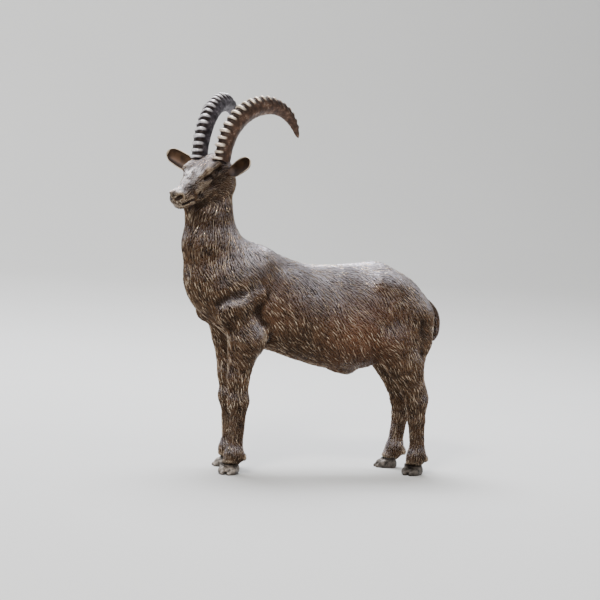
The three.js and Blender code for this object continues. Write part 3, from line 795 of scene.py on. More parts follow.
def upward(tree):
    """How far the surface faces up, from -1 to 1."""
    normal = node(tree, "ShaderNodeNewGeometry", out="Normal")
    return node(tree, "ShaderNodeSeparateXYZ", None, {0: normal}, "Z")


def attribute(tree, name):
    """A number that the piece carries; it is 0 on a piece that has none by this name."""
    return node(tree, "ShaderNodeAttribute", {"attribute_name": name}, None, "Fac")


def noise(tree, place, scale, detail=3.0):
    return node(tree, "ShaderNodeTexNoise", None,
                {"Vector": place, "Scale": scale, "Detail": detail, "Roughness": 0.55})


def mix_colour(tree, share, a, b):
    """A colour between a and b, each a wire or three numbers."""
    a, b = (c if isinstance(c, Wire) else (*c, 1.0) for c in (a, b))
    return node(tree, "ShaderNodeMix", {"data_type": "RGBA"}, {0: share, 6: a, 7: b}, 2)


def set_metal(tree, shader, colour, metallic, roughness, height, strength, depth):
    """Colour, roughness and fine bumps of a metal; the bumps' depth is in metres."""
    shader.inputs["Metallic"].default_value = metallic
    bump = node(tree, "ShaderNodeBump", None,
                {"Strength": strength, "Distance": depth, "Height": height})
    for name, wire in {"Base Color": colour, "Roughness": roughness, "Normal": bump}.items():
        tree.links.new(wire.socket, shader.inputs[name])


# %% [markdown]
# ## Bronze
# Real patinated bronze is a dark brown skin of oxide, redder where it is thin, with bare metal where
# hands and weather have rubbed the high places. Light is painted in too: a pale sheen of reflected
# sky on what faces up, a highlight on the bridge of the nose, glints on the crests, and shade on what
# faces down and in the creases. All of it follows the shape, so the colours come from the place on
# the object, the direction that the surface faces, and the numbers that strokes carry on their points.

# %% Places of the patina and of painted light
DARK = (0.018, 0.011, 0.008)
BROWN = (0.185, 0.103, 0.055)
RED = (0.255, 0.112, 0.060)
SKY_SHEEN = (0.620, 0.590, 0.640)
TAN = (0.480, 0.350, 0.235)
GOLD = (0.960, 0.805, 0.610)
HIGHLIGHT_SILVER = (0.850, 0.820, 0.830)
PATCHES = {  # place along the body, height and reach, in millimetres from the feet's middle
    "flank": (24, 122, 54),
    "behind shoulder": (-50, 140, 34),
    "loin": (60, 160, 50),
    "shadow under jaw": (-104, 206, 26),
    "face": (-134, 236, 50),
    "bridge": (-131, 240, 15),
    "nose": (-145, 228, 11),
    "toes": (-88, 4, 18),
}


def patch(tree, place, name):
    """1 at a patch of the body, seen from the side, falling to 0 at its reach."""
    x, z, reach = PATCHES[name]
    centre = ((x + FEET_MIDDLE[0]) * MM, 0, (z + FEET_MIDDLE[2]) * MM)
    flat = vector_math(tree, "MULTIPLY", place, (1, 0, 1))
    away = vector_math(tree, "DISTANCE", flat, centre, out="Value")
    return 1 - away.smooth(0.15 * reach * MM, reach * MM)


print("patches of the patina:", list(PATCHES))


# %% Bronze
def bronze(name, hollow=0.0, roughness=0.42, raised=False):
    """A material of patinated bronze. `hollow` darkens the ground between strokes, as dark patina and
    painted shade. All pieces may carry `shade`, above 0 on a ridge and below in a crease. A raised
    piece also carries `crest`, 1 on its edge, which is painted light as wear and glint, `sky`, how far
    the form under it faces up, and `tone`, its own lightness."""
    material, tree, shader = new_finish(name)
    place, up, shade = object_place(tree), upward(tree), attribute(tree, "shade")
    wide, near = noise(tree, place, 30.0), noise(tree, place, 170.0)
    cluster = noise(tree, place, 80.0, 2.0).smooth(0.36, 0.64)
    grain = noise(tree, place, 1000.0, 2.0)
    form, tone = up, near.smooth(0.34, 0.62) * (0.55 + 0.45 * cluster)
    if raised:
        form = attribute(tree, "sky") * 0.6 + up * 0.4
        tone = tone * 0.4 + attribute(tree, "tone") * 0.55

    # Painted shadow under the jaw: the ground is made darker at the throat.
    tone = tone * (1 - 0.4 * patch(tree, place, "shadow under jaw"))
    colour = mix_colour(tree, tone, DARK, BROWN)
    red = patch(tree, place, "flank") + patch(tree, place, "behind shoulder") * 0.6
    red = red * wide.smooth(0.2, 0.5) * (0.3 + 0.5 * near)
    colour = mix_colour(tree, red.clamp(), colour, RED)

    # Painted reflection of the sky: what faces up is made pale and lilac, less on the face and between the strokes,
    # more on the loin.
    sky_sheen = form.smooth(-0.05, 0.68) * (0.58 + 0.2 * wide.smooth(0.3, 0.65) + 0.25 * cluster)
    sky_sheen = sky_sheen * (1 - 0.8 * hollow) * (1 - 0.6 * patch(tree, place, "face"))
    sky_sheen = sky_sheen * (1 + 0.25 * patch(tree, place, "loin"))
    colour = mix_colour(tree, sky_sheen.clamp(), colour, SKY_SHEEN)
    # Painted highlight on the bridge and the top of the nose, where they face up.
    bridge_highlight = (patch(tree, place, "bridge") + patch(tree, place, "nose")) * form.smooth(0.3, 0.7)
    colour = mix_colour(tree, bridge_highlight * near.smooth(0.35, 0.6), colour, HIGHLIGHT_SILVER)

    # Ridges are lightened as wear, and the face's spots as painted highlights; creases are darkened as dark patina and
    # painted shade.
    colour = mix_colour(tree, shade.smooth(0.1, 0.9) * (0.25 + 0.45 * cluster), colour, TAN)
    colour = mix_colour(tree, (-shade).smooth(0.05, 0.8) * 0.85, colour, DARK)
    # Painted shade on what faces down, and between the strokes, where dark patina also lies.
    under = (-form).smooth(-0.05, 0.6)
    patina_and_shade = under * 0.4 + hollow * 0.85 * (1 - 0.4 * under)
    colour = mix_colour(tree, patina_and_shade.clamp(), colour, DARK)

    # Light flecks and crests in gold: worn metal and painted glints, fewer on what faces down.
    worn = grain.smooth(0.55, 0.75) * 0.12
    if raised:
        edge = attribute(tree, "crest")
        # Crests are lightened as wear, and more where they face up, as painted light.
        rubbed_and_lit = edge.smooth(0.15, 0.7) * (0.55 + 0.45 * cluster) * (0.35 + 0.65 * up.smooth(-0.6, 0.4))
        colour = mix_colour(tree, rubbed_and_lit.clamp(), colour, TAN)
        worn = edge.smooth(0.42, 0.75) * (0.35 + 0.65 * cluster) * grain.smooth(0.25, 0.45)
        worn = worn * (1 - 0.6 * under)
    worn = (worn + shade.smooth(0.3, 1.0) * grain.smooth(0.45, 0.62) * 0.22).clamp()
    colour = mix_colour(tree, worn, colour, GOLD)
    roughness = roughness + 0.16 * near - 0.12 * worn
    height = grain * 0.35 + near * 0.35 + noise(tree, place, 420.0, 2.0) * 0.5
    set_metal(tree, shader, colour, 0.92, roughness, height, 0.5, 0.0004)
    return material


# The ground between the strokes is darkened: painted shade and dark patina.
coat_ground = bronze("coat_ground", hollow=0.8)
coat_strokes = bronze("coat_strokes", roughness=0.24, raised=True)
print("bronze finishes:", [m.name for m in bpy.data.materials])

# %% [markdown]
# ## Skin
# The skin is the ground that the strokes are cut in. It replaces the flesh of the CAD model: torso,
# neck, head and legs are one piece here, with no seam at their partings.

# %% Skin
skin = mesh_object("skin", skin_points, skin_triangles, coat_ground)
keep(skin, "coat_bronze", "torso", "neck", "head", *("leg_" + name for name in LEGS))


# %% [markdown]
# ## The lie of the coat
# Hair grows backwards from the nose, down the neck and legs, and down and back over the trunk. The
# strokes follow it, so each point of the skin gets a direction and a stroke size. The coat has tens
# of thousands of strokes and no piece may be too big, so the skin is divided into regions, and
# each. The nose and the rings round the eyes stay bare.
# region's coat is a piece of its own. The nose and the rings round the eyes stay bare.

# %% Directions and sizes
def lie_of_coat(p):
    """The way that the strokes point at each point, and how far it belongs to the face."""
    x, z = p[:, 0], p[:, 2]
    forwards, upwards = (p - POLL) @ FORWARD, (p - POLL) @ UP
    on_face = smoothstep(forwards, -8, 8) * smoothstep(upwards, -34, -24) * smoothstep(z, 205, 218)
    lie = np.tile([0.62, 0.0, -0.78], (len(p), 1))
    for share, direction in [
        (smoothstep(z, 150, 176) * smoothstep(x, -60, -30), [0.8, 0.0, -0.6]),  # back
        (smoothstep(-x, 62, 88) * smoothstep(z, 150, 185), [0.1, 0.0, -1.0]),  # neck
        (1 - smoothstep(z, 70, 108), [0.45, 0.0, -0.9]),  # upper legs
        (1 - smoothstep(z, 35, 62), [0.1, 0.0, -1.0]),  # shanks
        (on_face, -0.9 * FORWARD + [0, 0, -0.3]),
    ]:
        lie = lie * (1 - share[:, None]) + np.array(direction) * share[:, None]
    return lie, on_face


lie, on_face = lie_of_coat(skin_points)
size = 1.0 - 0.6 * on_face - 0.38 * (1 - smoothstep(skin_points[:, 2], 45, 80))
put_attribute(skin, "lie", "FLOAT_VECTOR", "POINT", lie)
put_numbers(skin, size=size)
print("sizes of the strokes:", round(size.min(), 2), "to", round(size.max(), 2))

# %% Regions
REGIONS = {  # name: spacing of the long and of the fine strokes, in millimetres
    "face": (1.4, 0.95),
    "neck": (2.1, 1.2),
    "shoulders": (2.1, 1.25),
    "barrel": (2.1, 1.25),
    "rump": (2.1, 1.25),
    "legs": (1.8, 1.1),
}
BARE_ROUND_EYE = 4.2
middle = skin_points[skin_triangles].mean(1)
along, height = middle[:, 0], middle[:, 2]
bare = ((middle - POLL) @ FORWARD > NOSE + 2) & (height > 205)
for side in SIDES.values():
    bare |= np.linalg.norm(middle - eye_centre(side), axis=1) < BARE_ROUND_EYE
belongs = {  # the first that is true counts, and the rest is rump
    "bare": bare,
    "face": lie_of_coat(middle)[1] > 0.5,
    "legs": height < 78,
    "neck": (along < -66) & (height > 152),
    "shoulders": along < -40,
    "barrel": along < 30,
}
names = [*REGIONS, "bare"]
region = np.select(list(belongs.values()), [names.index(n) for n in belongs], names.index("rump"))
put_attribute(skin, "region", "INT", "FACE", region)
print("triangles per region:", dict(zip(names, np.bincount(region))))


# %% [markdown]
# ## High and hollow places
# On an old bronze the ridges are rubbed bright and the creases keep a dark patina; here the creases
# are also darkened as painted shade. The field can tell which is which: a little way around a point
# of a ridge there is more air than clay, around a point of a crease more clay than air. The average
# distance of six places around each vertex measures it. The face has small forms, so it is measured
# closer by. A few painted highlights are added on the cheeks and the muzzle.

# %% Relief
FINE_REACH, BROAD_REACH = 1.6, 4.5
PAINTED_HIGHLIGHT = 0.9
PAINTED_HIGHLIGHT_SPOTS = [  # along the head's axes, and how far each spot reaches
    (31, 10, -8.8, 5.5),
    (27, 10.5, -13.5, 5.0),
    (NOSE + 1.5, 3.4, -1.6, 3.0),
    (NOSE - 6, 7, -10.5, 3.5),
]


def field_at(p):
    """The distance field at any points, read between the lines of the grid."""
    below, share = [], []
    for axis, line in enumerate(clay.lines):
        i = np.clip(np.searchsorted(line, p[:, axis]) - 1, 0, len(line) - 2)
        below.append(i)
        share.append((p[:, axis] - line[i]) / (line[i + 1] - line[i]))
    total = np.zeros(len(p))
    for corner in CELL_CORNERS:
        weight = np.prod([t if c else 1 - t for c, t in zip(corner, share)], axis=0)
        total += weight * clay.field[tuple(i + c for i, c in zip(below, corner))]
    return total


def relief(p, reach):
    """Above 0 where the surface bulges, below 0 where it is hollow."""
    around = sum(field_at(p + sign * reach * axis) for axis in np.eye(3) for sign in (-1, 1))
    return around / 6 / reach


def graded(relief_here, ridge_from, ridge_gain, crease_from, crease_gain):
    """From 0 to 1 on ridges above one value, and from 0 to -1 in creases below another."""
    ridge = np.clip((relief_here - ridge_from) * ridge_gain, 0, 1)
    return ridge + np.clip((relief_here - crease_from) * crease_gain, -1, 0)


# Ridges count as wear; creases as dark patina and painted shade.
body_shade = graded(relief(skin_points, BROAD_REACH), 0.10, 6, 0.005, 8)
face_shade = graded(relief(skin_points, FINE_REACH), 0.05, 12, 0.015, 8)
shade = body_shade * (1 - on_face) + face_shade * on_face
# Painted highlights at a few spots on the cheeks and the muzzle.
for side in SIDES.values():
    for f, l, u, reach in PAINTED_HIGHLIGHT_SPOTS:
        away = np.linalg.norm(skin_points - head_point(f, l * side, u), axis=1)
        shade += PAINTED_HIGHLIGHT * np.exp(-((away / reach) ** 2))
shade = np.clip(shade, -1, 1)
put_numbers(skin, shade=shade)
print("on ridges:", round(np.mean(shade > 0.1), 3), "in creases:", round(np.mean(shade < -0.1), 3))


# %% [markdown]
# ## A flat map of the skin
# When the finish is baked to an image, each stroke needs its own small patch of that image, at its
# root's place. For that the skin is unwrapped: left and right half, inner and outer side, each laid
# flat in its own quarter of the map.

# %% Unwrap
QUARTER, MAP_MARGIN = 0.5, 0.015


def flat_map(points, triangles):
    corners = points[triangles]
    out = np.cross(corners[:, 1] - corners[:, 0], corners[:, 2] - corners[:, 0])[:, 1] > 0
    right = corners.mean(1)[:, 1] > 0
    low, span = points.min(0), np.ptp(points, axis=0).max()
    uv = (corners[:, :, [0, 2]] - low[[0, 2]]) / span * (QUARTER - 2 * MAP_MARGIN) + MAP_MARGIN
    return uv + QUARTER * np.stack([right, out], 1)[:, None, :]


flat_places = flat_map(skin_points, skin_triangles)
put_attribute(skin, "flat_place", "FLOAT2", "CORNER", flat_places)
print("the flat map lies between", flat_places.min().round(3), "and", flat_places.max().round(3))

# %% [markdown]
# ## One stroke
# A stroke of the coat is a narrow ridge, raised in the middle and pointed at both ends. Its mesh
# has only nine faces, because it is repeated tens of thousands of times. It is modelled one unit
# long, wide and high, and the tree below scales it. Each vertex carries how high it stands and how
# near it is to the crest.

# %% Stroke mesh
FOOT = -0.3  # a stroke's foot lies under the skin, as a share of its height
STATIONS = [(-0.22, 1.0), (0.24, 0.8)]  # place along the stroke, and its width and height there
points = [(-0.5, 0, FOOT)]
for at, full in STATIONS:
    points += [(at, -0.5 * full, FOOT), (at, 0.0, full), (at, 0.5 * full, FOOT)]
points.append((0.5, 0, FOOT))
last = len(points) - 1
faces = []
for i in range(len(STATIONS) - 1):
    a, b = 1 + 3 * i, 4 + 3 * i
    faces += [(a, b, b + 1, a + 1), (a + 1, b + 1, b + 2, a + 2), (a + 2, b + 2, b, a)]
faces += [(0, 1, 2), (0, 2, 3), (0, 3, 1)]
faces += [(last, last - 1, last - 2), (last, last - 2, last - 3), (last, last - 3, last - 1)]
stroke_mesh = bpy.data.meshes.new("stroke")
stroke_mesh.from_pydata(points, [], faces)
stroke = bpy.data.objects.new("stroke", stroke_mesh)
put_numbers(stroke, rise=[p[2] for p in points], crest=[max(0.0, p[2]) for p in points])
put_attribute(stroke, "patch", "FLOAT_VECTOR", "POINT", [(p[0], p[1], 0) for p in points])
print("one stroke:", len(faces), "faces")

# %% [markdown]
# ## Node trees for shapes
# A Geometry Nodes tree has its own inputs, like a modifier's settings. The first function makes a
# tree with named inputs and gives them as wires. The last turns the instances into real mesh and
# sets the finish, because only real mesh is exported. Between them are the nodes used most.


# %% Helpers for trees
def geometry_tree(name, sockets):
    tree = bpy.data.node_groups.new(name, "GeometryNodeTree")
    tree.interface.new_socket("Geometry", in_out="OUTPUT", socket_type="NodeSocketGeometry")
    tree.interface.new_socket("Geometry", in_out="INPUT", socket_type="NodeSocketGeometry")
    for label, kind in sockets.items():
        tree.interface.new_socket(label, in_out="INPUT", socket_type="NodeSocket" + kind)
    group = tree.nodes.new("NodeGroupInput")
    given = {s.name: Wire(tree, s) for s in group.outputs if s.name}
    return tree, given


def named(tree, name, kind="FLOAT"):
    return node(tree, "GeometryNodeInputNamedAttribute", {"data_type": kind}, {"Name": name})


def stored(tree, geometry, name, value, kind="FLOAT", domain="POINT"):
    return node(tree, "GeometryNodeStoreNamedAttribute", {"data_type": kind, "domain": domain},
                {"Geometry": geometry, "Name": name, "Value": value})


def from_nearest(tree, mesh, value, position, kind="FLOAT"):
    """A value of the place on a mesh that is nearest to a position."""
    return node(tree, "GeometryNodeSampleNearestSurface", {"data_type": kind},
                {"Mesh": mesh, "Value": value, "Sample Position": position})


def chance(tree, low, high, seed):
    """A random number for each point."""
    return node(tree, "FunctionNodeRandomValue", {"data_type": "FLOAT"},
                {2: low, 3: high, "Seed": seed}, 1)


def scaled(tree, vector, factor):
    return node(tree, "ShaderNodeVectorMath", {"operation": "SCALE"}, {0: vector, "Scale": factor})


def finish_tree(tree, geometry, material):
    realized = node(tree, "GeometryNodeRealizeInstances", None, {0: geometry})
    coloured = node(tree, "GeometryNodeSetMaterial", None,
                    {"Geometry": realized, "Material": material})
    output = tree.nodes.new("NodeGroupOutput")
    tree.links.new(coloured.socket, output.inputs[0])


# %% [markdown]
# ## The coat tree
# Geometry Nodes scatter the strokes: points are spread evenly over a region of the skin, a stroke
# is put on each and turned along the lie of the coat, a little off it here and there as a graver
# would. Every size that differs between coats is a named input of the tree.

# %% Scatter and turn the strokes
DENSEST = 2.5e6  # more points per square metre than the spacing lets through
coat_tree, given = geometry_tree("coat_of_strokes", {
    "Stroke": "Object", "Region": "Int", "Spacing": "Float", "Length": "Float", "Width": "Float",
    "Height": "Float", "Unevenness": "Float", "Glint": "Float", "Seed": "Int", "Material": "Material",
})
ground = given["Geometry"]
here = node(coat_tree, "FunctionNodeCompare", {"data_type": "INT", "operation": "EQUAL"},
            {2: named(coat_tree, "region", "INT"), 3: given["Region"]})
spread = node(coat_tree, "GeometryNodeDistributePointsOnFaces", {"distribute_method": "POISSON"},
              {"Mesh": ground, "Selection": here, "Distance Min": given["Spacing"],
               "Density Max": DENSEST, "Density Factor": 1.0, "Seed": given["Seed"]})
normal = Wire(coat_tree, spread.socket.node.outputs["Normal"])
position = node(coat_tree, "GeometryNodeInputPosition")
swirl = node(coat_tree, "ShaderNodeTexNoise", None, {"Vector": position, "Scale": 55.0, "Detail": 1.0})
turn = ((swirl - 0.5) * 1.5 + chance(coat_tree, -0.13, 0.13, 11)) * given["Unevenness"]
lie_here = node(coat_tree, "ShaderNodeVectorRotate", {"rotation_type": "AXIS_ANGLE"},
                {"Vector": named(coat_tree, "lie", "FLOAT_VECTOR"), "Axis": normal, "Angle": turn})
upright = node(coat_tree, "FunctionNodeAlignRotationToVector", {"axis": "Z"}, {"Vector": normal})
laid = node(coat_tree, "FunctionNodeAlignRotationToVector", {"axis": "X", "pivot_axis": "Z"},
            {"Rotation": upright, "Vector": lie_here})
size_here = named(coat_tree, "size")
scale = node(coat_tree, "ShaderNodeCombineXYZ", None, {
    0: given["Length"] * size_here * chance(coat_tree, 0.55, 1.3, 12),
    1: given["Width"] * size_here ** 0.6 * chance(coat_tree, 0.8, 1.2, 13),
    2: given["Height"],
})
print("nodes that scatter and turn the strokes:", len(coat_tree.nodes))

# %% [markdown]
# ## Marks on the strokes
# Before a stroke is put on its point, the point is given what the whole stroke shares: its place on
# the flat map, how high it stands, how much of its crest is painted light as wear and glint, and how
# light its metal. Then the strokes are pressed on to the skin, so that a long one bends with the
# curve under it, and each of their points reads off the skin below it which way that faces and
# whether it is a ridge or a crease.

# %% Mark and press the strokes
PATCH_SIZE = 0.003  # of a stroke on the flat map
root_place = from_nearest(coat_tree, ground, named(coat_tree, "flat_place", "FLOAT_VECTOR"),
                          position, "FLOAT_VECTOR")
stand = given["Height"] * size_here ** 0.5 * chance(coat_tree, 0.6, 1.25, 14)
# How much of each stroke's crest is painted light, as wear and glints.
worn = chance(coat_tree, 0.15, 1.0, 15) ** 1.3 * given["Glint"]
marked = stored(coat_tree, spread, "root_place", root_place, "FLOAT_VECTOR")
marked = stored(coat_tree, marked, "stand", stand)
marked = stored(coat_tree, marked, "worn", worn)
marked = stored(coat_tree, marked, "tone", chance(coat_tree, 0.0, 1.0, 16))
strokes = node(coat_tree, "GeometryNodeObjectInfo", None, {"Object": given["Stroke"]}, "Geometry")
placed = node(coat_tree, "GeometryNodeInstanceOnPoints", None,
              {"Points": marked, "Instance": strokes, "Rotation": laid, "Scale": scale})
loose = node(coat_tree, "GeometryNodeRealizeInstances", None, {0: placed})
nearest = node(coat_tree, "GeometryNodeProximity", {"target_element": "FACES"},
               {0: ground, "Sample Position": position})
facing = from_nearest(coat_tree, ground, node(coat_tree, "GeometryNodeInputNormal"), position,
                      "FLOAT_VECTOR")
lift = scaled(coat_tree, facing, named(coat_tree, "rise") * named(coat_tree, "stand"))
pressed = node(coat_tree, "GeometryNodeSetPosition", None,
               {"Geometry": loose, "Position": vector_math(coat_tree, "ADD", nearest, lift)})

shade_here = from_nearest(coat_tree, ground, named(coat_tree, "shade"), position)
# In creases less of the crest is lightened: dark patina and painted shade.
kept_edge = 1 - (-shade_here).smooth(0.1, 0.8) * 0.75
patch_place = vector_math(coat_tree, "MULTIPLY", named(coat_tree, "patch", "FLOAT_VECTOR"),
                          (PATCH_SIZE, PATCH_SIZE, 0.0))
baked = vector_math(coat_tree, "ADD", named(coat_tree, "root_place", "FLOAT_VECTOR"), patch_place)
sky = node(coat_tree, "ShaderNodeSeparateXYZ", None, {0: facing}, "Z")
coat = stored(coat_tree, pressed, "OFBake", baked, "FLOAT2", "CORNER")
coat = stored(coat_tree, coat, "shade", shade_here)
coat = stored(coat_tree, coat, "crest",
              named(coat_tree, "crest") * named(coat_tree, "worn") * kept_edge)
coat = stored(coat_tree, coat, "sky", sky)
finish_tree(coat_tree, coat, given["Material"])
print("coat tree:", len(coat_tree.nodes), "nodes")

# %% [markdown]
# ## Two layers
# The engraved coat has two sizes of cut: bold strokes 4 to 10 mm long whose crests carry the stronger
# painted glints, and finer ones of 2 to 6 mm that fill the gaps between them. Both come from the same
# tree. They are shorter on the face and the feet, where the skin's own size number is small.


# %% Grow the coat
LONG = {"Length": 7.8 * MM, "Width": 1.05 * MM, "Height": 0.62 * MM, "Glint": 1.0}
SHORT = {"Length": 4.4 * MM, "Width": 0.72 * MM, "Height": 0.34 * MM, "Glint": 0.4}
GUIDES = ("lie", "size", "region", "flat_place")
STROKE_MARKS = ("root_place", "stand", "worn", "rise", "patch", "lie", "size")


def drop_attributes(mesh, names):
    for name in names:
        if name in mesh.attributes:
            mesh.attributes.remove(mesh.attributes[name])


def run_tree(source, tree, values, name):
    """A new mesh object with what the tree makes of the source object."""
    modifier = source.modifiers.new("tree", "NODES")
    modifier.node_group = tree
    sockets = {i.name: i.identifier for i in tree.interface.items_tree if i.in_out == "INPUT"}
    for label, value in values.items():
        modifier[sockets[label]] = value
    ready = source.evaluated_get(bpy.context.evaluated_depsgraph_get())
    mesh = bpy.data.meshes.new_from_object(ready)
    mesh.name = name
    source.modifiers.remove(modifier)
    mesh.shade_smooth()
    drop_attributes(mesh, STROKE_MARKS)
    return add_object(name, mesh)


def grow_coat(source, name, region, spacing, seed, kind, unevenness=1.0):
    values = {"Stroke": stroke, "Region": region, "Spacing": spacing * MM, "Seed": seed,
              "Unevenness": unevenness, "Material": coat_strokes, **kind}
    return keep(run_tree(source, coat_tree, values, name), "coat_bronze")


for number, (name, (wide_apart, close)) in enumerate(REGIONS.items()):
    grow_coat(skin, f"coat_{name}_long", number, wide_apart, 20 + number, LONG)
    grow_coat(skin, f"coat_{name}_fine", number, close, 30 + number, SHORT, 1.4)
drop_attributes(skin.data, GUIDES)


# %% [markdown]
# ## Horns
# An ibex's horn is a long arc with a row of knobs on its front. The arc and the taper follow a
# simple rule, so the tube is swept along two circular bends. Each point of it carries its place
# along the horn, how far it lies on the front, and which way is out, for the knobs to come.

# %% Rings and faces
def ring_faces(rings, around, closed=False):
    """Quads between rings of points, with both ends capped unless the last ring meets the first."""
    faces = [
        (i * around + j, i * around + (j + 1) % around,
         (i + 1) % rings * around + (j + 1) % around, (i + 1) % rings * around + j)
        for i in range(rings if closed else rings - 1)
        for j in range(around)
    ]
    if not closed:
        faces += [list(range(around))[::-1], list(range((rings - 1) * around, rings * around))]
    return faces


def turned_out(faces, inside_out):
    return [face[::-1] for face in faces] if inside_out else faces


# %% Horn tube
HORN_RADIUS, HORN_STRAIGHT, HORN_TIP = 7.5, 5.4, 7.5
HORN_LEAN, HORN_SPLAY = math.radians(9), math.radians(14)
HORN_SPREAD, HORN_BEHIND_POLL = 11.9, 1.6
HORN_SWEEP = [(45, math.radians(81)), (34, math.radians(62))]  # radius and angle of each bend
HORN_TAPER = [(0, 0.92), (0.3, 1.0), (0.55, 0.93), (0.75, 0.7), (0.9, 0.44), (1, 0.16)]
HORN_LENGTH = HORN_STRAIGHT + HORN_TIP + sum(r * t for r, t in HORN_SWEEP)
HORN_FLATTER = 0.9  # its width, as a share of its depth
HORN_SQUARER = 0.05  # its four soft edges stand out by this share
HORN_TWIST = {-1: 0.12, 1: -0.3}  # the row of knobs is turned a little round the horn
HORN_SUNK = 4.0  # the tube starts this far inside the crown
TIP_ROUND = 2.0


def horn_path(s):
    """How far back and up the horn is at length s, and its heading there."""
    heading = math.pi / 2 - HORN_LEAN
    first = min(s, HORN_STRAIGHT)
    back, up, rest = first * math.cos(heading), first * math.sin(heading), s - first
    for radius, bend in HORN_SWEEP:
        after = heading - min(rest / radius, bend)
        back += radius * (math.sin(heading) - math.sin(after))
        up += radius * (math.cos(after) - math.cos(heading))
        rest -= radius * (heading - after)
        heading = after
    return back + rest * math.cos(heading), up + rest * math.sin(heading), heading


def splayed(side, back, across, up):
    """From the horn's own plane, which leans outwards, to the body's frame."""
    behind = back * math.cos(HORN_SPLAY) - across * math.sin(HORN_SPLAY)
    beside = back * math.sin(HORN_SPLAY) + across * math.cos(HORN_SPLAY)
    return -behind * LEVEL - side * beside * LEFT + np.array([0, 0, up])


def horn_tube(side, stations=300, around=44):
    root = POLL - HORN_BEHIND_POLL * LEVEL - side * HORN_SPREAD * LEFT
    points, along, front, outward = [], [], [], []
    for i in range(stations):
        s = -HORN_SUNK + (HORN_LENGTH + HORN_SUNK) * i / (stations - 1)
        back, up, heading = horn_path(s)
        radius = HORN_RADIUS * float(curve(HORN_TAPER, max(0.0, s) / HORN_LENGTH))
        if s > HORN_LENGTH - TIP_ROUND:
            radius *= math.sqrt(max(0.02, (HORN_LENGTH - s) / TIP_ROUND))
        for j in range(around):
            angle = 2 * math.pi * j / around
            forth, aside = math.cos(angle), HORN_FLATTER * math.sin(angle)
            out = splayed(side, -forth * math.sin(heading), aside, forth * math.cos(heading))
            reach = radius * (1 + HORN_SQUARER * math.cos(4 * angle))
            points.append(root + splayed(side, back, 0, up) + reach * out)
            outward.append(out)
            along.append(s / HORN_LENGTH)
            front.append(math.cos(angle + HORN_TWIST[side]))
    return points, turned_out(ring_faces(stations, around), side > 0), along, front, outward


print("length of a horn:", round(HORN_LENGTH), "mm")

# %% [markdown]
# ## Knobs
# The knobs follow a rule, which suits Geometry Nodes: the tree lifts the front of the tube in pulses
# along its length, each of a slightly different height, and lets them fade towards the tip. Fine
# noise makes the rest of the surface uneven, as chased metal is.

# %% Knob tree
KNOBS, KNOB_HEIGHT, KNURL_HEIGHT = 21, 2.0, 1.0
KNOBS_FROM, KNOBS_TO = -4.9 / HORN_LENGTH, 0.95
SMOOTH_ROOT = -0.03
horn_tree, given = geometry_tree("knobs_on_horn", {
    "Knobs": "Float", "From": "Float", "To": "Float", "Knob Height": "Float",
    "Smooth Root": "Float", "Knurls": "Float", "Seed": "Int", "Material": "Material",
})
along, front = named(horn_tree, "along"), named(horn_tree, "front")
share = (along - given["From"]) / (given["To"] - given["From"])
turns = share * given["Knobs"] - (1 - front) * 0.22
knob_number = turns.math("FLOOR")
phase = turns - knob_number
pulse = phase.smooth(0.06, 0.3) * (1 - phase.smooth(0.4, 0.78))
each = node(horn_tree, "FunctionNodeRandomValue", {"data_type": "FLOAT"},
            {2: 0.72, 3: 1.18, "ID": knob_number, "Seed": given["Seed"]}, 1)
fading = (1 - share * share * 0.62) * share.smooth(-0.02, 0.02) * (1 - share.smooth(0.97, 1.0))
fading = fading * share.smooth(-0.06, given["Smooth Root"])
raised = pulse * front.smooth(0.1, 0.95) * each * fading
knurls = node(horn_tree, "ShaderNodeTexNoise", None,
              {"Vector": node(horn_tree, "GeometryNodeInputPosition"), "Scale": 420.0, "Detail": 2.0})
knurls = (knurls - 0.5) * given["Knurls"]
lift = scaled(horn_tree, named(horn_tree, "outward", "FLOAT_VECTOR"),
              raised * given["Knob Height"] + knurls)
shaped = node(horn_tree, "GeometryNodeSetPosition", None,
              {"Geometry": stored(horn_tree, given["Geometry"], "knob", raised), "Offset": lift})
finish_tree(horn_tree, shaped, given["Material"])
print("knob tree:", len(horn_tree.nodes), "nodes")


# %% [markdown]
# ## Horn bronze
# The knobs are rubbed light, as on a handled bronze, and their tops are painted light as a highlight
# as well; the pits between them keep the oldest, darkest patina. The tree leaves on each point how
# far it was raised, so the finish knows a knob from a pit. The left horn has the warm brown of the
# body and the right one is greyer.

# %% Horn bronze
HORN_COLOURS = {  # body, side, knob tops: worn metal and painted highlight
    "left": ((0.034, 0.019, 0.013), (0.120, 0.066, 0.044), (0.86, 0.74, 0.60)),
    "right": ((0.026, 0.022, 0.026), (0.110, 0.096, 0.110), (0.80, 0.77, 0.78)),
}


def horn_bronze(name, body, side_colour, knob_top_colour):
    material, tree, shader = new_finish(name)
    place = object_place(tree)
    near, grain = noise(tree, place, 220.0), noise(tree, place, 1100.0, 2.0)
    knob, front = attribute(tree, "knob"), attribute(tree, "front")
    colour = mix_colour(tree, near.smooth(0.3, 0.7), body, side_colour)
    # Knob tops painted light: worn metal and painted highlight.
    top = knob.smooth(0.24, 0.62) * front.smooth(0.35, 0.8) * grain.smooth(0.2, 0.45)
    top = (top * (0.4 + 0.9 * near)).clamp()
    fleck = (near * grain).smooth(0.3, 0.44) * 0.2
    colour = mix_colour(tree, (top + fleck * (1 - top)).clamp(), colour, knob_top_colour)
    pit = (1 - knob.smooth(0.0, 0.35)) * front.smooth(0.1, 0.75)
    colour = mix_colour(tree, pit * 0.9, colour, DARK)
    height = grain * 0.5 + near * 0.5
    set_metal(tree, shader, colour, 0.7, 0.44 + 0.14 * grain - 0.12 * top, height, 0.4, 0.0003)
    return material


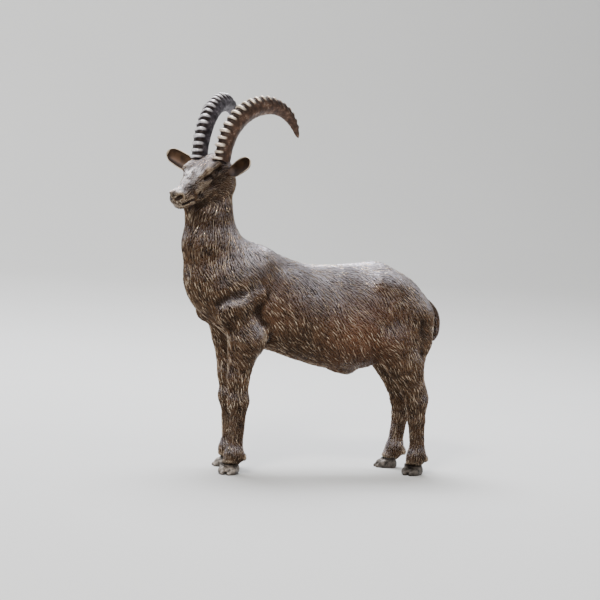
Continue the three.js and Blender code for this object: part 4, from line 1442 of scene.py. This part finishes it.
# %% Make the horns
for name, side in SIDES.items():
    points, faces, along, front, outward = horn_tube(side)
    tube = mesh_object("horn_tube", points, faces)
    put_numbers(tube, along=along, front=front)
    put_attribute(tube, "outward", "FLOAT_VECTOR", "POINT", outward)
    horn = run_tree(tube, horn_tree, {
        "Knobs": float(KNOBS), "From": KNOBS_FROM, "To": KNOBS_TO, "Smooth Root": SMOOTH_ROOT,
        "Knob Height": KNOB_HEIGHT * MM, "Knurls": KNURL_HEIGHT * MM, "Seed": 5 + side,
        "Material": horn_bronze(f"horn_{name}_bronze", *HORN_COLOURS[name]),
    }, f"horn_{name}_cast")
    bpy.data.objects.remove(tube)
    drop_attributes(horn.data, ["outward"])
    keep(horn, "horn_bronze", "horn_" + name)


# %% [markdown]
# ## Ears
# Each ear is a leaf rolled into a cup that opens forwards. A loft does this best: at each station
# along the ear a crescent of points gives the outer and the inner face, so the wall is one closed
# shell that is thin at the rim and thick at the root. The rim is marked as a crest, which the finish
# paints light as wear and glints.

# %% Ears
EAR_ROOT = np.array([-6, 12.5, -13.8])
EAR_LENGTH, EAR_WIDTH, EAR_WALL = 34, 13.4, 1.2
EAR_START = -0.12  # the shell starts inside the head, as a share of its length
EAR_DEPTH = 0.62  # of the cup, as a share of its half-width
EAR_CURL = 1.2
EAR_SWEEP = math.radians(18)
EAR_RISE = {-1: math.radians(20), 1: math.radians(25)}
EAR_OUTLINE = [
    (-0.12, 0.34), (0, 0.42), (0.2, 0.72), (0.42, 1.0), (0.65, 1.0), (0.85, 0.88), (1, 0.74),
]


def plumb_point(h, l, z):
    """A point given forwards and left of the poll on the level, and straight up."""
    return POLL + h * LEVEL + l * LEFT + np.array([0, 0, z])


def ear_axes(side):
    """Three directions: along the ear, where its cup opens, and across."""
    rise = EAR_RISE[side]
    out = np.array([math.sin(EAR_SWEEP) * math.cos(rise), math.cos(EAR_SWEEP) * math.cos(rise),
                    math.sin(rise)])
    opening = square_to(np.array([math.cos(EAR_SWEEP), -math.sin(EAR_SWEEP), 0.15]), out)
    return out, opening, np.cross(out, opening)


def ear_shell(side, stations=46, arc=17):
    out, opening, across = ear_axes(side)
    steps = (np.arange(arc) + 0.5) / arc
    points, rim = [], []
    for i in range(stations):
        share = EAR_START + (1 - EAR_START) * math.sin(math.pi / 2 * i / (stations - 1)) ** 1.2
        half = EAR_WIDTH / 2 * float(curve(EAR_OUTLINE, share))
        half *= math.sqrt(max(0.008, 1 - max(0.0, (share - 0.8) / 0.2) ** 2))
        cup = EAR_DEPTH * half
        hollow = float(smoothstep(share, 0.04, 0.3))
        inner = 0.7 * cup * (1 - hollow) + min(-0.1, EAR_WALL - cup) * hollow
        curl = float(smoothstep(share, 0.3, 0.7) * (1 - smoothstep(share, 0.78, 0.96)))
        crescent = [(t, half, -cup) for t in steps] + [(t, 0.93 * half, inner) for t in steps[::-1]]
        for t, width, depth in crescent:
            angle = math.pi * (t - 0.5)
            edge = abs(math.sin(angle))
            opened = depth * math.cos(angle) + EAR_CURL * hollow * curl * edge ** 4
            p = EAR_ROOT + out * share * EAR_LENGTH + across * width * math.sin(angle) + opening * opened
            points.append(plumb_point(p[0], -side * p[1], p[2]))
            rim.append(float(max(smoothstep(edge, 0.93, 0.99), smoothstep(share, 0.93, 0.98))))
    return points, turned_out(ring_faces(stations, 2 * arc), side < 0), rim


ear_bronze = bronze("ear_bronze", hollow=0.15, roughness=0.46, raised=True)
for name, side in SIDES.items():
    points, faces, rim = ear_shell(side)
    ear = mesh_object(f"ear_{name}_cast", points, faces, ear_bronze)
    # The rim is painted light as wear and glints; sky 0 keeps most of the painted sheen off the ear.
    put_numbers(ear, crest=rim, sky=0.0, tone=0.3)
    keep(ear, "face_bronze", "ear_" + name)


# %% [markdown]
# ## Eyes
# The statue's eyes are polished bumps with a cut ring round the iris. A ball with a shallow groove
# and a small dent in its middle, seen through two lids, gives the dark glint that brings the head
# to life.

# %% Eyeballs
EYE_RADIUS = 2.7
IRIS_ANGLE = 0.62
GROOVE_DEPTH = 0.05  # as a share of the radius


def eye_radius(polar):
    """The ball's radius at an angle from its middle, with the iris ring and the pupil's dent."""
    ring = math.exp(-((polar - IRIS_ANGLE) / 0.07) ** 2)
    dent = math.exp(-((polar / 0.22) ** 2))
    return EYE_RADIUS * (1 - GROOVE_DEPTH * ring - GROOVE_DEPTH * dent)


def eye_ball(side, rings=28, around=40):
    out = -side * LEFT
    top = -side * np.cross(out, FORWARD)
    centre = eye_centre(side)
    points, faces = [centre + out * EYE_RADIUS], []
    for i in range(1, rings):
        polar = math.pi * i / rings
        for j in range(around):
            a = 2 * math.pi * j / around
            sideways = math.cos(a) * FORWARD + math.sin(a) * top
            way = math.cos(polar) * out + math.sin(polar) * sideways
            points.append(centre + eye_radius(polar) * way)
    points.append(centre - out * EYE_RADIUS)
    last_ring = 1 + (rings - 2) * around
    for j in range(around):
        after = (j + 1) % around
        faces.append((0, 1 + j, 1 + after))
        faces.append((len(points) - 1, last_ring + after, last_ring + j))
    for i in range(rings - 2):
        for j in range(around):
            a, b = 1 + i * around + j, 1 + i * around + (j + 1) % around
            faces.append((a, a + around, b + around, b))
    return points, turned_out(faces, side > 0)


# %% Lids
LID_HALF_LENGTH, LID_HALF_HEIGHT = 3.5, 1.9


def tube_round(path, radii, sides=10):
    """A closed tube along a closed path."""
    path = np.array(path)
    points, n = [], len(path)
    for i in range(n):
        tangent = unit(path[(i + 1) % n] - path[i - 1])
        u = square_to(path[i] - path.mean(0), tangent)
        v = np.cross(tangent, u)
        for j in range(sides):
            a = 2 * math.pi * j / sides
            points.append(path[i] + radii[i] * (math.cos(a) * u + math.sin(a) * v))
    return points, ring_faces(n, sides, closed=True)


def lids(side, steps=56):
    """Two lids as one closed ring in the shape of an almond, bent round the ball."""
    centre = eye_centre(side)
    facing = unit(-0.86 * side * LEFT + 0.5 * FORWARD)
    long = square_to(FORWARD, facing)
    high = np.cross(long, facing) * -side
    path, radii = [], []
    for i in range(steps):
        a = 2 * math.pi * i / steps
        along = LID_HALF_LENGTH * math.cos(a)
        up = LID_HALF_HEIGHT * math.sin(a) * abs(math.sin(a)) ** 0.5
        depth = 2.15 - 1.5 * math.cos(a) ** 2
        path.append(centre + along * long + up * high + depth * facing)
        radii.append(0.38 + 0.22 * max(0, math.sin(a)) + 0.06 * abs(math.sin(a)))
    return tube_round(path, radii)


# %% Make the eyes
eye_bronze, tree, shader = new_finish("eye_bronze")
speck = noise(tree, object_place(tree), 900.0)
colour = mix_colour(tree, speck.smooth(0.4, 0.7), (0.030, 0.022, 0.018), (0.090, 0.066, 0.050))
tree.links.new(colour.socket, shader.inputs["Base Color"])
shader.inputs["Metallic"].default_value = 0.95
shader.inputs["Roughness"].default_value = 0.3
# The lids are darkened almost fully: painted shade round the eye.
lid_bronze = bronze("lid_bronze", hollow=0.95, roughness=0.4)
for name, side in SIDES.items():
    ball = mesh_object(f"eye_{name}_cast", *eye_ball(side), eye_bronze)
    keep(ball, "eye_bronze", "eye_" + name)
    keep(mesh_object(f"eyelids_{name}", *lids(side), lid_bronze), "coat_bronze")

# %% [markdown]
# ## Hooves
# A goat's hoof is two claws side by side, so each claw is three bars of clay joined softly, and the
# cleft between them stays open at the toe. They are modelled on their own very fine grid and cut
# flat on the ground, where the statue stands.

# %% Hoof shapes
HOOF_LENGTH, HOOF_WIDTH = 20, 14
HOOF_CELL = 0.5
CORONET_GAP = 0.1


def claw(hand):
    y = hand * HOOF_WIDTH / 4
    toe = HOOF_LENGTH / 2 - 1.8
    return [
        (bar([-4, y, 3.2], 4.6, [3.5, y, 2.6], 4), 1),
        (bar([2, y, 2.8], 3.9, [toe, 0.75 * y, 1], 1.9), 1.5),
        (bar([-3, y, 6], 4.3, [0, y, 12], 4), 2),
    ]


def hoof_points(leg):
    grid = np.arange(-13, 13, HOOF_CELL)
    block = Clay(grid, grid, np.arange(-2, 14, HOOF_CELL))
    for form, k in claw(-1) + claw(1):
        block.add(form, k)
    block.carve(bar([1, 0, -1], 0.7, [12, 0, 3], 1.1), 0.8)
    x, _, z = np.ix_(*block.lines)
    top = (x * CORONET_SLOPE + (z - HOOF_HEIGHT)) / math.hypot(1, CORONET_SLOPE) + CORONET_GAP
    block.field = np.maximum(np.maximum(block.field, top), -z)
    points, triangles = block.surface()
    points[:, 2] = np.maximum(points[:, 2], 0)
    side, turn = leg["side"], math.radians(leg["toe_out"])
    along, across = points[:, 0], points[:, 1]
    dx = -along * math.cos(turn) + across * math.sin(turn)
    dy = (along * math.sin(turn) + across * math.cos(turn)) * side
    made = np.stack([leg["hoof"] + dx, STANCE * side + dy, points[:, 2]], 1)
    return made, triangles[:, ::-1] if side > 0 else triangles


# %% [markdown]
# ## Hoof bronze
# Horn grows in rings, so a fine wave up the hoof gives the bump. Where the toes face up they are
# lightened, as wear and painted highlight, most on the fore hooves, and a dark line of old patina
# lies where the hair ends.

# %% Make the hooves
RINGS = 4200.0  # radians of the growth wave per metre of height
hoof_bronze, tree, shader = new_finish("hoof_bronze")
place, up = object_place(tree), upward(tree)
near, grain = noise(tree, place, 260.0), noise(tree, place, 1300.0, 2.0)
height = node(tree, "ShaderNodeSeparateXYZ", None, {0: place}, "Z")
growth = ((height + near * 0.0008) * RINGS).math("SINE") * 0.5 + 0.5
toes = 0.1 + 0.8 * patch(tree, place, "toes")
# Painted highlight and wear on the toes: lighter where they face up, most on the fore hooves.
rubbed_and_lit = up.smooth(-0.3, 0.5) * near.smooth(0.35, 0.6) * toes + grain.smooth(0.5, 0.8) * 0.2
colour = mix_colour(tree, near.smooth(0.3, 0.7), (0.030, 0.025, 0.021), (0.120, 0.102, 0.088))
colour = mix_colour(tree, rubbed_and_lit.clamp(), colour, (0.52, 0.45, 0.39))
colour = mix_colour(tree, height.smooth(0.0062, 0.0080) * 0.9, colour, DARK)
set_metal(tree, shader, colour, 0.7, 0.36 + 0.2 * near, growth * 0.4 + grain * 0.6, 0.4, 0.0002)
for name, leg in LEGS.items():
    hoof = mesh_object(f"hoof_{name}_cast", *hoof_points(leg), hoof_bronze)
    keep(hoof, "hoof_bronze", "hoof_" + name)


# %% [markdown]
# ## Tail
# The tail is a short flat lock that lies against the rump: oval rings along a bent path, thinning
# to a point. It gets strokes like the rest of the coat, from the same tree.

# %% Tail
def lock(path, sides=16):
    """A closed skin over oval rings: each row is x, y, z, half-depth and half-width."""
    path = np.array(path, float)
    points = []
    for i in range(len(path)):
        tangent = unit(path[min(i + 1, len(path) - 1), :3] - path[max(i - 1, 0), :3])
        across = square_to(np.array([0, 1.0, 0]), tangent)
        outward = np.cross(tangent, across)
        for j in range(sides):
            a = 2 * math.pi * j / sides
            oval = path[i, 3] * math.cos(a) * outward + path[i, 4] * math.sin(a) * across
            points.append(path[i, :3] + oval)
    return points, ring_faces(len(path), sides)


def refined(rows, count):
    """Rows on a smooth curve through the given ones."""
    rows = np.array(rows, float)
    table = np.column_stack([np.linspace(0, 1, len(rows)), rows])
    at = np.linspace(0, 1, count)
    return np.column_stack([curve(table, at, c) for c in range(1, table.shape[1])])


TAIL = [
    (82, 0, 147, 4, 7),
    (90, 0, 144.5, 4.4, 8),
    (95.5, 0, 141, 4.5, 8),
    (100.3, 0, 136, 4.3, 7.4),
    (103, 0, 130, 4, 6.8),
    (103.8, 0, 123.5, 3.8, 6),
    (103.8, 0, 117, 3, 4.4),
    (103, 0, 112, 1, 1.6),
]
TAIL_MAP_CORNER, TAIL_MAP_SPAN = (-8, 110), 60
points, faces = lock(refined(TAIL, 40), 32)
tail = mesh_object("tail_cast", points, faces, coat_ground)
corner_points = np.array(points)[[loop.vertex_index for loop in tail.data.loops]]
flat_places = (corner_points[:, [1, 2]] - TAIL_MAP_CORNER) / TAIL_MAP_SPAN
put_attribute(tail, "lie", "FLOAT_VECTOR", "POINT", [(0.25, 0, -1)] * len(points))
put_numbers(tail, size=0.8)
put_attribute(tail, "region", "INT", "FACE", [0] * len(faces))
put_attribute(tail, "flat_place", "FLOAT2", "CORNER", flat_places)
grow_coat(tail, "coat_tail", 0, 1.5, 40, LONG)
drop_attributes(tail.data, GUIDES)
keep(tail, "coat_bronze", "tail")

# %% [markdown]
# ## Beard
# The beard is three dozen thin locks that start inside the chin, each with its own small wave and
# length. Their roots are set out like the seeds of a sunflower, which fills a round spot evenly.
# All of them are joined in one mesh, and each has its own lightness, as the strokes have.

# %% Beard
LOCKS, LOCK_RINGS, LOCK_SIDES = 36, 14, 8
SEED_TURN, SEED_SPACING = 2.4, 0.45
LOCK_RADIUS, LOCK_END = 0.55, 0.12
GOLDEN_SHARE = 0.618  # of the way round the tones from one lock to the next
rng = np.random.default_rng(8)
root = head_point(NOSE - 9, 0, -14) + [0, 0, 1]
points, faces = [], []
for n in range(LOCKS):
    angle = SEED_TURN * n
    off = SEED_SPACING * math.sqrt(n) * np.array([math.cos(angle), math.sin(angle)])
    length, wave = rng.uniform(13, 22), rng.uniform(0.3, 0.9)
    rows = []
    for t in np.linspace(0, 1, LOCK_RINGS):
        radius = LOCK_RADIUS * (1 - t) ** 0.5 + LOCK_END
        x = root[0] + off[0] * (1 - 0.6 * t) + wave * math.sin(5 * t + angle) + 3.5 * t * t
        y = root[1] + off[1] * (1 - 0.6 * t) + wave * math.cos(4 * t + angle)
        rows.append((x, y, root[2] - length * t, radius, radius))
    more, lock_faces = lock(rows, LOCK_SIDES)
    faces += [tuple(i + len(points) for i in face) for face in lock_faces]
    points += more
beard = mesh_object("beard_cast", points, faces, coat_strokes)
order = np.arange(len(points))
in_lock = order % (LOCK_RINGS * LOCK_SIDES) / (LOCK_RINGS * LOCK_SIDES)
lock_number = order // (LOCK_RINGS * LOCK_SIDES)
# The crest number paints light flecks along the locks, as wear and glints.
crest = np.maximum(0, np.sin(0.055 * order)) ** 2 * in_lock
put_numbers(beard, crest=crest, sky=0.0, tone=lock_number * GOLDEN_SHARE % 1)
keep(beard, "coat_bronze", "beard")

# %% [markdown]
# ## Floor
# The statue is shown on a plain pale floor that curves up behind it, as a roll of paper does in a
# photographer's studio, so that no edge shows behind the horns.

# %% Floor
FLOOR_FRONT, FLOOR_BEND, BEND_RADIUS, FLOOR_TOP, FLOOR_HALF = -3.0, 2.2, 0.9, 4.0, 6.0
profile = [(FLOOR_FRONT, 0.0), (FLOOR_BEND, 0.0)]
profile += [
    (FLOOR_BEND + BEND_RADIUS * math.sin(a), BEND_RADIUS - BEND_RADIUS * math.cos(a))
    for a in np.linspace(0.1, math.pi / 2, 14)
]
profile.append((FLOOR_BEND + BEND_RADIUS, FLOOR_TOP))
floor_mesh = bpy.data.meshes.new("floor")
floor_mesh.from_pydata(
    [(x, y, z) for y, z in profile for x in (-FLOOR_HALF, FLOOR_HALF)], [],
    [(2 * i, 2 * i + 1, 2 * i + 3, 2 * i + 2) for i in range(len(profile) - 1)],
)
floor_mesh.shade_smooth()
floor = add_object("floor", floor_mesh)
paper, tree, shader = new_finish("floor_paper")
mottle = noise(tree, object_place(tree), 3.0)
colour = mix_colour(tree, mottle, (0.78, 0.78, 0.77), (0.82, 0.82, 0.81))
tree.links.new(colour.socket, shader.inputs["Base Color"])
shader.inputs["Roughness"].default_value = 0.9
floor.data.materials.append(paper)
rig.stage(floor)
print("floor:", len(floor_mesh.polygons), "faces")

# %% [markdown]
# ## Camera
# The camera stands 24 degrees round from the statue's side and 4 degrees above it, and is tilted a
# little to match the photo. A long lens two metres away keeps the proportions true. The lens shift,
# not a turn of the camera, puts the statue in its place in the picture.

# %% Camera
AZIMUTH, ELEVATION, ROLL = math.radians(-24), math.radians(4), math.radians(4)
DISTANCE = 2.0
SCALE = 1.203  # pixels per millimetre at the statue's middle
STATUE_MIDDLE = FEET_MIDDLE + (0, 0, 150)
MIDDLE_PIXEL = (325.0, 291.68)
PICTURE = 600
SENSOR = 36


def placed_along(right, above, back, place):
    """A matrix for an object whose x, y and z point right, above and back."""
    matrix = np.eye(4)
    for column, vector in enumerate((right, above, back, place)):
        matrix[:3, column] = vector
    return matrix.T.tolist()


back = np.array([math.sin(AZIMUTH) * math.cos(ELEVATION), -math.cos(AZIMUTH) * math.cos(ELEVATION),
                 math.sin(ELEVATION)])
level_right = np.array([math.cos(AZIMUTH), math.sin(AZIMUTH), 0.0])
plain_above = np.cross(back, level_right)
right = level_right * math.cos(ROLL) + plain_above * math.sin(ROLL)
above = plain_above * math.cos(ROLL) - level_right * math.sin(ROLL)
camera = add_object("camera", bpy.data.cameras.new("camera"))
camera.matrix_world = placed_along(right, above, back, STATUE_MIDDLE * MM + back * DISTANCE)
camera.data.sensor_width = SENSOR
camera.data.lens = SENSOR * SCALE * DISTANCE / MM / PICTURE
camera.data.shift_x = (PICTURE / 2 - MIDDLE_PIXEL[0]) / PICTURE
camera.data.shift_y = (MIDDLE_PIXEL[1] - PICTURE / 2) / PICTURE
bpy.context.scene.camera = camera
print("lens:", round(camera.data.lens, 1), "mm")

# %% [markdown]
# ## Light
# Metal shows what it reflects, so the lamps are big and soft. The broad one overhead shines on the
# back, where a pale sheen is also painted, one from the front lights the face and a faint warm one
# fills the hind side.
# The fourth lights the paper. The world gives the even light of a room.


# %% Lamps
STATUE = (0, 0, 0.15)
LAMPS = {  # place, aim, size, power, colour
    "overhead": ((0.0, 0.55, 1.45), STATUE, 1.1, 37, (0.93, 0.95, 1.0)),
    "front": ((-1.1, -1.4, 1.5), STATUE, 0.4, 27, (1.0, 0.96, 0.9)),
    "backdrop": ((0, 1.3, 2.6), (0, 3.2, 1.2), 1.2, 60, (1.0, 1.0, 1.0)),
    "side": ((1.6, -1.2, 0.9), STATUE, 0.5, 5, (1.0, 0.94, 0.86)),
}
for name, (place, aim, size, power, colour) in LAMPS.items():
    data = bpy.data.lights.new(name, "AREA")
    data.shape, data.size, data.energy, data.color = "DISK", size, power, colour
    towards = unit(np.array(aim, float) - place)
    beside = unit(np.cross(towards, (0, 0, 1.0)))
    lamp = add_object(name, data)
    lamp.matrix_world = placed_along(beside, np.cross(beside, towards), -towards, place)
world = bpy.data.worlds.new("studio")
bpy.context.scene.world = world
world.use_nodes = True
world.node_tree.nodes["Background"].inputs["Color"].default_value = (0.86, 0.87, 0.88, 1)
world.node_tree.nodes["Background"].inputs["Strength"].default_value = 0.52
print("lamps:", list(LAMPS))

# %% [markdown]
# ## Finish
# The last step writes the two boxes, the CAD model's and this one's, to a file.

# %% Sizes and finish
json.dump({"cad": CAD_BOX, "visual": [list(corner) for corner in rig.bounds()]},
          open("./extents.json", "w"))
print(open("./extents.json").read())
